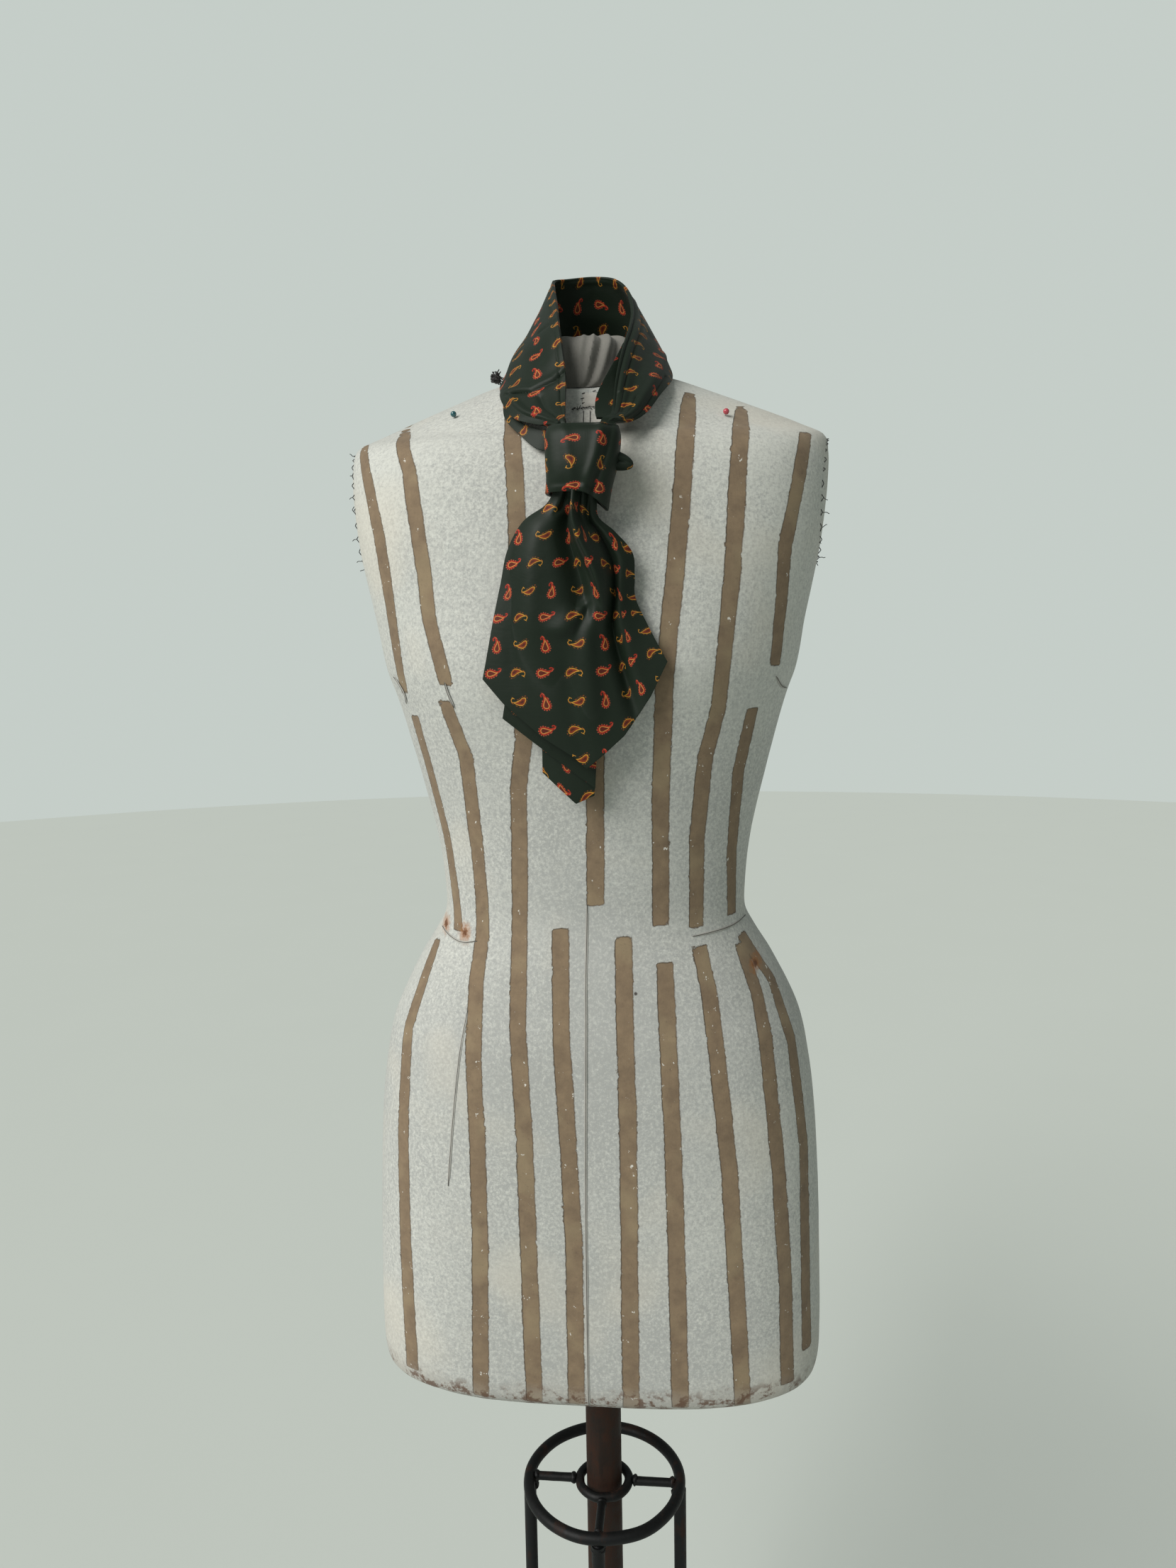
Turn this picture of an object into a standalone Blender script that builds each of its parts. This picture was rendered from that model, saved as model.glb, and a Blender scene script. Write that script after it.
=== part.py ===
"""A silk cravat tied round the neck of a linen-covered dress form on an iron stand.

Metres, +Z up.  The origin is on the floor, under the stand's pole.  The front faces -Y.
"""

import math
from collections import namedtuple

import bpy
from mathutils import Vector

GAP = 0.0003                # what touching pieces keep between them

# ---- dress form -------------------------------------------------------------------------------
FORM_SIDES = 44             # points round a section
Section = namedtuple("Section", "height half_width front back square tilt")
FORM_SECTIONS = [
    Section(0.6340, 0.1660, 0.0900, 0.0920, 3.2, 0.0),
    Section(0.6430, 0.1755, 0.0985, 0.1010, 3.2, 0.0),
    Section(0.6700, 0.1785, 0.1020, 0.1060, 3.1, 0.0),
    Section(0.7400, 0.1780, 0.1050, 0.1120, 2.9, 0.0),
    Section(0.8000, 0.1762, 0.1060, 0.1150, 2.8, 0.0),
    Section(0.8550, 0.1732, 0.1065, 0.1150, 2.7, 0.0),
    Section(0.8900, 0.1690, 0.1060, 0.1130, 2.6, 0.0),
    Section(0.9200, 0.1630, 0.1040, 0.1080, 2.5, 0.0),
    Section(0.9430, 0.1535, 0.1000, 0.1020, 2.4, 0.0),
    Section(0.9690, 0.1400, 0.0950, 0.0940, 2.3, 0.0),
    Section(0.9900, 0.1270, 0.0900, 0.0880, 2.2, 0.0),
    Section(1.0040, 0.1200, 0.0875, 0.0840, 2.2, 0.0),
    Section(1.0210, 0.1193, 0.0870, 0.0825, 2.2, 0.0),
    Section(1.0620, 0.1236, 0.0910, 0.0840, 2.2, 0.0),
    Section(1.1100, 0.1342, 0.0990, 0.0910, 2.25, 0.0),
    Section(1.1570, 0.1462, 0.1070, 0.0980, 2.3, 0.0),
    Section(1.1750, 0.1515, 0.1095, 0.1000, 2.35, 0.0),
    Section(1.1950, 0.1585, 0.1110, 0.1020, 2.4, 0.0),
    Section(1.2300, 0.1645, 0.1105, 0.1050, 2.5, 0.0),
    Section(1.2760, 0.1740, 0.1070, 0.1060, 2.6, 0.0),
    Section(1.3020, 0.1780, 0.1030, 0.1040, 2.6, 0.0),
    Section(1.3300, 0.1810, 0.0980, 0.0990, 2.5, 0.0),
    Section(1.3530, 0.1815, 0.0920, 0.0900, 2.3, 0.06),
    Section(1.3660, 0.1780, 0.0870, 0.0820, 2.0, 0.11),
    Section(1.3740, 0.1620, 0.0820, 0.0750, 1.8, 0.16),
    Section(1.3860, 0.1330, 0.0770, 0.0660, 1.7, 0.22),
    Section(1.3990, 0.0990, 0.0710, 0.0570, 1.75, 0.30),
    Section(1.4080, 0.0740, 0.0670, 0.0520, 1.9, 0.34),
    Section(1.4125, 0.0590, 0.0640, 0.0480, 2.0, 0.345),
]
BUST_OUT = 0.0065           # how far each side of the bust stands out of its sections
BUST_APART = 0.078          # from the middle to each side's peak
BUST_HEIGHT = 1.192
BUST_WIDE = 0.052
BUST_HIGH = 0.050
CAP_RISES = [               # the neck cap: rise over its seam, size against the seam, tilt
    (0.0004, 0.870, 0.345),
    (0.0040, 0.875, 0.335),
    (0.0110, 0.850, 0.300),
    (0.0190, 0.800, 0.240),
    (0.0245, 0.710, 0.190),
    (0.0280, 0.540, 0.150),
    (0.0297, 0.300, 0.140),
    (0.0302, 0.090, 0.140),
]
PINS = {                    # ball-headed pins in the shoulders: x, height, colour
    "dress_pin_left": (-0.094, 1.379, (0.02, 0.16, 0.18)),
    "dress_pin_right": (0.1033, 1.3725, (0.55, 0.07, 0.10)),
}
PIN_HEAD = 0.0022           # radius
PIN_CLEAR = 0.0005
SURFACE_STEPS = 30          # steps that settle a place on the form's front
SURFACE_STEP_SHARE = 0.3    # share of the way that each of them goes

# ---- stand ------------------------------------------------------------------------------------
WELD_GAP = 0.0006           # between rods, rings and the hub, whose sides are flat facets
POLE_RADIUS = 0.015
SOCKET_RADIUS = 0.022
SOCKET_FLOOR = 0.150        # height of the plate that the pole stands on
SOCKET_PLATE = 0.006
SOCKET_DEEP = 0.050
TOP_RING_HEIGHT = 0.5015
TOP_RING_RADIUS = 0.0645    # to the rod's centre
TOP_RING_ROD = 0.00475
HUB_RADIUS = 0.021
HUB_ROD = 0.0038
SPOKE_ROD = 0.0035
LEG_ROD = 0.00525
LOW_RING_HEIGHT = 0.175
FOOT_RADIUS = 0.018
FOOT_THICK = 0.006
LEG_BEND_DROP = 0.02        # of the legs' bend below the low ring
FOOT_NECK = 0.006           # the leg's straight end over its foot
FOOT_REACH = 0.205          # from the pole to each foot's centre
LEG_COUNT = 4

# ---- cravat -----------------------------------------------------------------------------------
CLOTH = 0.0016              # one folded layer of the silk
BAND_CLOTH = 0.0024         # the neck band is folded in several layers
Station = namedtuple("Station", "top_x top_y top_z low_x low_y low_z bow")
BAND_STATIONS = [           # the neck band, from the knot up the left, round and down the right
    Station(-0.0040, -0.1180, 1.3440, -0.0138, -0.1170, 1.3420, 0.0000),
    Station(-0.0045, -0.1160, 1.3570, -0.0124, -0.1140, 1.3550, 0.0005),
    Station(-0.0052, -0.1080, 1.3640, -0.0240, -0.1020, 1.3590, 0.0020),
    Station(-0.0060, -0.0965, 1.3750, -0.0430, -0.0880, 1.3670, 0.0030),
    Station(-0.0068, -0.0850, 1.3940, -0.0545, -0.0660, 1.3830, 0.0040),
    Station(-0.0100, -0.0740, 1.4160, -0.0590, -0.0430, 1.3955, 0.0045),
    Station(-0.0140, -0.0580, 1.4370, -0.0625, -0.0200, 1.4055, 0.0050),
    Station(-0.0190, -0.0260, 1.4610, -0.0630, 0.0060, 1.4165, 0.0045),
    Station(-0.0245, 0.0060, 1.4820, -0.0600, 0.0320, 1.4270, 0.0035),
    Station(-0.0270, 0.0320, 1.4965, -0.0510, 0.0560, 1.4390, 0.0030),
    Station(-0.0180, 0.0460, 1.5020, -0.0320, 0.0720, 1.4460, 0.0025),
    Station(0.0020, 0.0510, 1.5045, 0.0000, 0.0790, 1.4485, 0.0020),
    Station(0.0190, 0.0450, 1.5000, 0.0320, 0.0720, 1.4460, 0.0025),
    Station(0.0300, 0.0300, 1.4860, 0.0520, 0.0560, 1.4390, 0.0030),
    Station(0.0350, 0.0020, 1.4630, 0.0610, 0.0320, 1.4270, 0.0035),
    Station(0.0345, -0.0280, 1.4420, 0.0640, 0.0060, 1.4160, 0.0045),
    Station(0.0310, -0.0550, 1.4200, 0.0645, -0.0200, 1.4050, 0.0050),
    Station(0.0280, -0.0740, 1.3990, 0.0630, -0.0450, 1.3955, 0.0045),
    Station(0.0265, -0.0860, 1.3820, 0.0570, -0.0680, 1.3830, 0.0040),
    Station(0.0258, -0.0970, 1.3690, 0.0480, -0.0880, 1.3670, 0.0030),
    Station(0.0250, -0.1080, 1.3620, 0.0380, -0.1010, 1.3590, 0.0020),
    Station(0.0195, -0.1160, 1.3570, 0.0279, -0.1140, 1.3550, 0.0005),
    Station(0.0185, -0.1180, 1.3440, 0.0290, -0.1170, 1.3420, 0.0000),
]
STRETCH_TRIM = 0.02         # share of a station left open where two stretches meet
BAND_LEAN = (0.01, 0.02)    # how the band bows: backward and up, added to its middle's place
BAND_STRETCHES = {          # the first and last station of each stretch that shows
    "band_left": (0, 9),
    "band_back": (9, 13),
    "band_right": (13, 22),
}
UNDER_STATIONS = [          # the folded layer that shows below the left side
    Station(-0.0510, -0.0588, 1.3832, -0.0560, -0.0535, 1.3857, 0.0),
    Station(-0.0450, -0.0750, 1.3740, -0.0510, -0.0750, 1.3690, 0.0),
    Station(-0.0360, -0.0870, 1.3630, -0.0385, -0.0890, 1.3550, 0.0),
    Station(-0.0230, -0.0960, 1.3570, -0.0260, -0.0970, 1.3440, 0.0),
    Station(-0.0140, -0.0990, 1.3550, -0.0140, -0.0990, 1.3420, 0.0),
]
FOLD_STATIONS = [           # the folded strip inside the right side's inner edge
    Station(0.0305, -0.0440, 1.4260, 0.0335, -0.0415, 1.4260, 0.0),
    Station(0.0262, -0.0625, 1.4110, 0.0315, -0.0585, 1.4110, 0.0),
    Station(0.0180, -0.0765, 1.3920, 0.0300, -0.0700, 1.3920, 0.0),
    Station(0.0140, -0.0850, 1.3800, 0.0290, -0.0800, 1.3800, 0.0),
    Station(0.0138, -0.0935, 1.3690, 0.0280, -0.0905, 1.3690, 0.0),
    Station(0.0155, -0.1020, 1.3620, 0.0270, -0.1000, 1.3620, 0.0),
]
KnotRow = namedtuple("KnotRow", "height left right front back")
KNOT_ROWS = [               # the wrap round both ends, rim to rim
    KnotRow(1.3525, -0.0148, 0.0305, -0.1330, -0.1050),
    KnotRow(1.3450, -0.0160, 0.0318, -0.1375, -0.1040),
    KnotRow(1.3310, -0.0160, 0.0300, -0.1395, -0.1040),
    KnotRow(1.3190, -0.0155, 0.0258, -0.1390, -0.1045),
    KnotRow(1.3095, -0.0165, 0.0228, -0.1360, -0.1060),
]
KNOT_SQUARE = 2.8           # how boxy the wrap is, seen from above
KNOT_DIP = 0.011            # how far its lower rim dips at the right
TUCK_CENTRE = (0.0353, -0.1230, 1.3295)
TUCK_SIZE = (0.0038, 0.0080, 0.0066)
Row = namedtuple("Row", "left_x left_z right_x right_z middle_y edge_y")
BLADE_ROWS = [              # the front blade, from inside the knot to its corners
    Row(-0.0090, 1.3250, 0.0175, 1.3230, -0.1366, -0.1335),
    Row(-0.0115, 1.3110, 0.0170, 1.3080, -0.1328, -0.1275),
    Row(-0.0175, 1.3020, 0.0172, 1.2940, -0.1318, -0.1245),
    Row(-0.0330, 1.2920, 0.0280, 1.2840, -0.1330, -0.1215),
    Row(-0.0440, 1.2740, 0.0392, 1.2705, -0.1340, -0.1200),
    Row(-0.0495, 1.2520, 0.0405, 1.2560, -0.1330, -0.1190),
    Row(-0.0550, 1.2290, 0.0410, 1.2410, -0.1310, -0.1190),
    Row(-0.0595, 1.2080, 0.0500, 1.2210, -0.1285, -0.1190),
    Row(-0.0638, 1.1880, 0.0622, 1.1980, -0.1260, -0.1190),
]
BLADE_HEM = [               # how far the hem drops below the corners: share across, drop
    (0.000, 0.0000),
    (0.112, 0.0175),
    (0.323, 0.0424),
    (0.496, 0.0583),
    (0.564, 0.0671),
    (0.660, 0.0580),
    (0.767, 0.0470),
    (0.909, 0.0225),
    (1.000, 0.0000),
]
Crease = namedtuple("Crease", "across down to_across to_down wide high")
BLADE_CREASES = [           # ridges (+) and hollows (-), in shares across and down the blade
    Crease(0.47, 0.20, 0.68, 0.60, 0.075, 0.0060),
    Crease(0.34, 0.28, 0.50, 0.62, 0.090, -0.0050),
    Crease(0.82, 0.34, 0.80, 0.92, 0.055, -0.0040),
    Crease(0.18, 0.38, 0.24, 0.66, 0.110, 0.0025),
]
TAIL_FRONT_ROWS = [         # the second blade, folded lengthwise: its front layer
    Row(-0.0040, 1.3230, 0.0120, 1.3230, -0.1330, -0.1328),
    Row(-0.0050, 1.3020, 0.0145, 1.3000, -0.1238, -0.1218),
    Row(-0.0250, 1.2680, 0.0200, 1.2650, -0.1220, -0.1190),
    Row(-0.0410, 1.2150, 0.0170, 1.2000, -0.1195, -0.1175),
    Row(-0.0513, 1.1610, 0.0120, 1.1120, -0.1185, -0.1165),
]
TAIL_BACK_ROWS = [          # and the layer folded behind it
    Row(-0.0030, 1.3230, 0.0110, 1.3230, -0.1309, -0.1306),
    Row(-0.0040, 1.3020, 0.0135, 1.3000, -0.1215, -0.1196),
    Row(-0.0150, 1.2680, 0.0190, 1.2650, -0.1192, -0.1168),
    Row(-0.0235, 1.1950, 0.0158, 1.1900, -0.1162, -0.1150),
    Row(-0.0246, 1.1232, 0.0112, 1.1070, -0.1155, -0.1142),
]
TAIL_BACK_HEM = [(0.0, 0.0), (0.64, 0.0115), (1.0, 0.0)]
CREASE_FADE = 14            # how fast a crease dies out past its ends
HEM_POWER = 2.2             # how late the hem's drop comes in, down a blade

SILK = (0.022, 0.045, 0.032)
LINEN = (0.62, 0.61, 0.57)
CAP_LINEN = (0.36, 0.36, 0.34)
BLACK_IRON = (0.015, 0.015, 0.016)
RUSTY_IRON = (0.035, 0.024, 0.020)


# ---- smooth tables ----------------------------------------------------------------------------
def share_along(places, at):
    """The interval of a rising list that holds a place, and how far along it lies."""
    low = 0
    while low < len(places) - 2 and at >= places[low + 1]:
        low += 1
    return low, (at - places[low]) / (places[low + 1] - places[low])


def smooth(rows, places, at):
    """Every column of a table at a place between its rows, on cubic curves through them."""
    low, step = share_along(places, at)
    span = places[low + 1] - places[low]

    def slope(index, column):
        before = max(index - 1, 0)
        after = min(index + 1, len(rows) - 1)
        return (rows[after][column] - rows[before][column]) / (places[after] - places[before])

    values = []
    for column in range(len(rows[0])):
        start = rows[low][column]
        rise = rows[low + 1][column] - start
        leave = slope(low, column) * span
        arrive = slope(low + 1, column) * span
        values.append(start + leave * step + (3 * rise - 2 * leave - arrive) * step ** 2
                      + (leave + arrive - 2 * rise) * step ** 3)
    return type(rows[0])(*values) if hasattr(rows[0], "_fields") else tuple(values)


def straight(table, at):
    """The second column of a two-column table at a value of its first."""
    low, step = share_along([row[0] for row in table], at)
    return table[low][1] + (table[low + 1][1] - table[low][1]) * step


def bell(value):
    return math.exp(-value * value)


# ---- pieces and materials ---------------------------------------------------------------------
def material(name, colour, roughness, metallic=0.0):
    """A plain Principled material."""
    made = bpy.data.materials.new(name)
    made.use_nodes = True
    shader = made.node_tree.nodes["Principled BSDF"]
    shader.inputs["Base Color"].default_value = (*colour, 1.0)
    shader.inputs["Roughness"].default_value = roughness
    shader.inputs["Metallic"].default_value = metallic
    made.diffuse_color = (*colour, 1.0)
    return made


def add_piece(name, data, finish, collection):
    """An object for a mesh or a curve, linked into the collection."""
    piece = bpy.data.objects.new(name, data)
    data.materials.append(finish)
    collection.objects.link(piece)
    return piece


def take_primitive(name, finish, collection):
    """The primitive just added, named, finished and moved into the collection."""
    piece = bpy.context.object
    piece.name = name
    piece.data.name = name
    piece.data.materials.append(finish)
    for old in list(piece.users_collection):
        old.objects.unlink(piece)
    collection.objects.link(piece)
    piece.data.shade_smooth()
    piece.data.set_sharp_from_angle(angle=math.radians(40))
    return piece


def grid_mesh(name, rows, closed, capped=False):
    """Faces between rows of points; closed rows are rings, and caps fill the end rings."""
    wide = len(rows[0])
    points = [tuple(point) for row in rows for point in row]
    faces = []
    for low in range(len(rows) - 1):
        for side in range(wide if closed else wide - 1):
            ahead = (side + 1) % wide
            faces.append((low * wide + side, low * wide + ahead,
                          (low + 1) * wide + ahead, (low + 1) * wide + side))
    if capped:
        last = (len(rows) - 1) * wide
        faces.append(tuple(reversed(range(wide))))
        faces.append(tuple(last + side for side in range(wide)))
    mesh = bpy.data.meshes.new(name)
    mesh.from_pydata(points, [], faces)
    mesh.shade_smooth()
    return mesh


def cloth_piece(name, point, rows, columns, thick, finish, collection, closed=False):
    """A cloth wall: point(down, across) over an open grid or a ring, thickened both ways."""
    sides = columns if closed else columns + 1
    grid = [[point(row / rows, side / columns) for side in range(sides)]
            for row in range(rows + 1)]
    piece = add_piece(name, grid_mesh(name, grid, closed), finish, collection)
    wall = piece.modifiers.new("Cloth thickness", "SOLIDIFY")
    wall.thickness = thick
    wall.offset = 0.0
    return piece


# ---- dress form -------------------------------------------------------------------------------
def section_at(height):
    """The form's section at a height."""
    return smooth(FORM_SECTIONS, [row.height for row in FORM_SECTIONS], height)


def bust_at(x, height):
    """How far the bust stands forward of the plain section."""
    apart = (abs(x) - BUST_APART) / BUST_WIDE
    return BUST_OUT * bell(apart) * bell((height - BUST_HEIGHT) / BUST_HIGH)


def section_point(section, turn, swell=1.0):
    """A point of a section at an angle, counted from +X towards +Y."""
    cosine, sine = math.cos(turn), math.sin(turn)
    power = 2 / section.square
    x = section.half_width * swell * math.copysign(abs(cosine) ** power, cosine)
    deep = section.back if sine > 0 else section.front
    y = deep * swell * math.copysign(abs(sine) ** power, sine)
    if sine < 0:
        y -= bust_at(x, section.height) * -sine
    return Vector((x, y, section.height + section.tilt * y))


def chest_y(x, height):
    """How far forward the form's front stands at a place; -Y is forward."""
    level, y = height, 0.0
    for _ in range(SURFACE_STEPS):
        section = section_at(level)
        inside = max(0.0, 1 - abs(x / section.half_width) ** section.square)
        y = -section.front * inside ** (1 / section.square) - bust_at(x, level)
        level += SURFACE_STEP_SHARE * (height - section.tilt * y - level)
    return y


def form_normal(x, height):
    """The way that the form's front faces at a place."""
    step = 0.001
    aside = (chest_y(x + step, height) - chest_y(x - step, height)) / (2 * step)
    upward = (chest_y(x, height + step) - chest_y(x, height - step)) / (2 * step)
    return Vector((aside, -1.0, upward)).normalized()


def section_ring(section, swell=1.0):
    return [section_point(section, math.tau * side / FORM_SIDES, swell)
            for side in range(FORM_SIDES)]


def build_torso(finish, collection):
    mesh = grid_mesh("form_torso", [section_ring(section) for section in FORM_SECTIONS],
                     closed=True, capped=True)
    add_piece("form_torso", mesh, finish, collection)


def build_cap(finish, collection):
    """The gathered cap: rings that rise from the torso's top edge and close over the neck."""
    seam = FORM_SECTIONS[-1]
    rings = [section_ring(seam._replace(height=seam.height + rise, tilt=tilt), size)
             for rise, size, tilt in CAP_RISES]
    add_piece("form_neck_cap", grid_mesh("form_neck_cap", rings, True, True), finish, collection)


def build_pins(collection):
    for name, (x, height, colour) in PINS.items():
        seat = Vector((x, chest_y(x, height), height))
        centre = seat + form_normal(x, height) * (PIN_HEAD + PIN_CLEAR)
        bpy.ops.mesh.primitive_uv_sphere_add(segments=12, ring_count=8, radius=PIN_HEAD,
                                             location=centre)
        take_primitive(name, material(name, colour, 0.25), collection)


# ---- stand ------------------------------------------------------------------------------------
def build_ring(name, radius, rod, height, finish, collection):
    bpy.ops.mesh.primitive_torus_add(major_radius=radius, minor_radius=rod, major_segments=32,
                                     minor_segments=8, location=(0, 0, height))
    take_primitive(name, finish, collection)


def build_rod(name, radius, start, end, finish, collection, sides=16):
    """A straight rod between two points."""
    start, end = Vector(start), Vector(end)
    way = end - start
    bpy.ops.mesh.primitive_cylinder_add(vertices=sides, radius=radius, depth=way.length,
                                        location=(start + end) / 2,
                                        rotation=way.to_track_quat("Z", "Y").to_euler())
    return take_primitive(name, finish, collection)


def build_socket(finish, collection):
    """The cup that the pole stands in, a turned profile."""
    inner = POLE_RADIUS + WELD_GAP
    plate = SOCKET_FLOOR - SOCKET_PLATE
    rim = SOCKET_FLOOR + SOCKET_DEEP
    profile = [(0, rim - SOCKET_DEEP), (inner, SOCKET_FLOOR), (inner, rim),
               (SOCKET_RADIUS, rim), (SOCKET_RADIUS, plate), (0, plate)]
    mesh = bpy.data.meshes.new("stand_socket")
    mesh.from_pydata([(x, 0, z) for x, z in profile], [(i, i + 1) for i in range(5)], [])
    piece = add_piece("stand_socket", mesh, finish, collection)
    turn = piece.modifiers.new("Turned", "SCREW")
    turn.steps = turn.render_steps = 32
    turn.use_merge_vertices = True
    turn.merge_threshold = 0.00005
    turn.use_smooth_shade = False


def leg_route():
    """A leg from under the top ring, straight down, then out in a curve to its foot."""
    top = TOP_RING_HEIGHT - TOP_RING_ROD - GAP
    bend = LOW_RING_HEIGHT - LEG_BEND_DROP
    foot = FOOT_THICK + FOOT_NECK
    route = [(TOP_RING_RADIUS, top), (TOP_RING_RADIUS, (top + bend) / 2), (TOP_RING_RADIUS, bend)]
    reach = FOOT_REACH - TOP_RING_RADIUS
    steps = 14
    for step in range(1, steps + 1):
        turn = math.pi * step / steps
        out = TOP_RING_RADIUS + reach * (1 - math.cos(turn)) / 2
        fall = (bend - foot) * step / steps
        route.append((out, bend - fall))
    route.append((FOOT_REACH, FOOT_THICK + GAP))
    return route


def build_legs(finish, collection):
    for number in range(LEG_COUNT):
        turn = math.tau * number / LEG_COUNT
        curve = bpy.data.curves.new(f"stand_leg_{number + 1}", "CURVE")
        curve.dimensions = "3D"
        curve.bevel_depth = LEG_ROD
        curve.bevel_resolution = 2
        curve.use_fill_caps = True
        route = leg_route()
        line = curve.splines.new("POLY")
        line.points.add(len(route) - 1)
        for place, (out, height) in zip(line.points, route):
            place.co = (out * math.cos(turn), out * math.sin(turn), height, 1)
        add_piece(curve.name, curve, finish, collection)
        bpy.ops.mesh.primitive_cylinder_add(
            vertices=28, radius=FOOT_RADIUS, depth=FOOT_THICK,
            location=(FOOT_REACH * math.cos(turn), FOOT_REACH * math.sin(turn), FOOT_THICK / 2))
        take_primitive(f"stand_foot_{number + 1}", finish, collection)


def build_spokes(prefix, inner, outer, height, finish, collection):
    """Four short rods from a hub out to a ring."""
    for number in range(LEG_COUNT):
        turn = math.tau * number / LEG_COUNT
        way = Vector((math.cos(turn), math.sin(turn), 0))
        rise = Vector((0, 0, height))
        build_rod(f"{prefix}_{number + 1}", SPOKE_ROD, way * inner + rise, way * outer + rise,
                  finish, collection)


def build_stand(iron, rusty, collection):
    pole_top = FORM_SECTIONS[0].height - GAP
    build_rod("stand_pole", POLE_RADIUS, (0, 0, SOCKET_FLOOR + GAP), (0, 0, pole_top),
              rusty, collection, sides=32)
    build_socket(iron, collection)
    build_ring("stand_top_ring", TOP_RING_RADIUS, TOP_RING_ROD, TOP_RING_HEIGHT, iron, collection)
    build_ring("stand_hub_ring", HUB_RADIUS, HUB_ROD, TOP_RING_HEIGHT, iron, collection)
    build_spokes("stand_top_spoke", HUB_RADIUS + HUB_ROD + WELD_GAP,
                 TOP_RING_RADIUS - TOP_RING_ROD - WELD_GAP, TOP_RING_HEIGHT, iron, collection)
    low_radius = TOP_RING_RADIUS - LEG_ROD - TOP_RING_ROD - WELD_GAP
    build_ring("stand_low_ring", low_radius, TOP_RING_ROD, LOW_RING_HEIGHT, iron, collection)
    build_spokes("stand_low_spoke", SOCKET_RADIUS + WELD_GAP, low_radius - TOP_RING_ROD - WELD_GAP,
                 LOW_RING_HEIGHT, iron, collection)
    build_legs(iron, collection)


# ---- cravat -----------------------------------------------------------------------------------
def band_point(stations, first, last, down, across):
    """A point of a band: down runs along it, across from its top edge to its low edge."""
    place = first + (last - first) * down
    spot = smooth(stations, list(range(len(stations))), place)
    top = Vector((spot.top_x, spot.top_y, spot.top_z))
    low = Vector((spot.low_x, spot.low_y, spot.low_z))
    middle = top.lerp(low, across)
    out = Vector((middle.x, middle.y + BAND_LEAN[0], BAND_LEAN[1])).normalized()
    return middle + out * spot.bow * math.sin(math.pi * across)


def knot_point(down, around):
    """A point of the knot's wrap: down from rim to rim, around from its right side."""
    row = smooth(KNOT_ROWS, list(range(len(KNOT_ROWS))), down * (len(KNOT_ROWS) - 1))
    turn = -math.tau * around
    cosine, sine = math.cos(turn), math.sin(turn)
    power = 2 / KNOT_SQUARE
    across = math.copysign(abs(cosine) ** power, cosine)
    x = (row.left + row.right) / 2 + across * (row.right - row.left) / 2
    y = (row.front + row.back) / 2
    y += math.copysign(abs(sine) ** power, sine) * (row.back - row.front) / 2
    dip = KNOT_DIP * down ** 3 * max(0.0, across) ** 2
    return Vector((x, y, row.height - dip))


def crease_height(creases, across, down):
    """How far the creases lift the cloth forward at a place."""
    total = 0.0
    for crease in creases:
        long = crease.to_down - crease.down
        share = (down - crease.down) / long
        centre = crease.across + (crease.to_across - crease.across) * share
        fade = 1 / (1 + math.exp(-CREASE_FADE * share))
        fade /= 1 + math.exp(CREASE_FADE * (share - 1))
        total += crease.high * fade * bell((across - centre) / crease.wide)
    return total


def blade_point(rows, hem, creases, down, across):
    """A point of a blade: down from the knot to the hem, across from its left edge."""
    row = smooth(rows, list(range(len(rows))), down * (len(rows) - 1))
    x = row.left_x + (row.right_x - row.left_x) * across
    height = row.left_z + (row.right_z - row.left_z) * across
    height -= straight(hem, across) * down ** HEM_POWER if hem else 0.0
    y = row.middle_y + (row.edge_y - row.middle_y) * (2 * across - 1) ** 2
    y -= crease_height(creases, across, down)
    return Vector((x, y, height))


def build_cravat(silk, collection):
    for name, (first, last) in BAND_STRETCHES.items():
        start = first + (STRETCH_TRIM if first else 0.0)
        end = last - (STRETCH_TRIM if last < len(BAND_STATIONS) - 1 else 0.0)
        cloth_piece(name, lambda down, across, a=start, b=end:
                    band_point(BAND_STATIONS, a, b, down, across),
                    rows=(last - first) * 2, columns=6, thick=BAND_CLOTH, finish=silk,
                    collection=collection)
    for name, stations in (("band_left_under", UNDER_STATIONS), ("band_right_fold", FOLD_STATIONS)):
        cloth_piece(name, lambda down, across, s=stations:
                    band_point(s, 0, len(s) - 1, down, across),
                    rows=10, columns=3, thick=CLOTH, finish=silk, collection=collection)
    cloth_piece("knot", knot_point, rows=8, columns=28, thick=BAND_CLOTH, finish=silk,
                collection=collection, closed=True)
    bpy.ops.mesh.primitive_uv_sphere_add(segments=14, ring_count=8, location=TUCK_CENTRE,
                                         scale=TUCK_SIZE)
    take_primitive("knot_tuck", silk, collection)
    blades = (("front_blade", BLADE_ROWS, BLADE_HEM, BLADE_CREASES, 22, 24),
              ("tail_front", TAIL_FRONT_ROWS, [], [], 12, 8),
              ("tail_back", TAIL_BACK_ROWS, TAIL_BACK_HEM, [], 12, 8))
    for name, rows, hem, creases, long, wide in blades:
        cloth_piece(name, lambda down, across, r=rows, h=hem, c=creases:
                    blade_point(r, h, c, down, across),
                    rows=long, columns=wide, thick=CLOTH, finish=silk, collection=collection)


def main():
    for old in list(bpy.data.objects):
        bpy.data.objects.remove(old)
    collection = bpy.data.collections.new("cravat_on_dress_form")
    bpy.context.scene.collection.children.link(collection)
    silk = material("green_silk", SILK, 0.45)
    linen = material("linen", LINEN, 0.9)
    build_torso(linen, collection)
    build_cap(material("cap_linen", CAP_LINEN, 0.9), collection)
    build_pins(collection)
    build_stand(material("black_iron", BLACK_IRON, 0.55, 0.6),
                material("rusty_iron", RUSTY_IRON, 0.7, 0.6), collection)
    build_cravat(silk, collection)


main()
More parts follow.
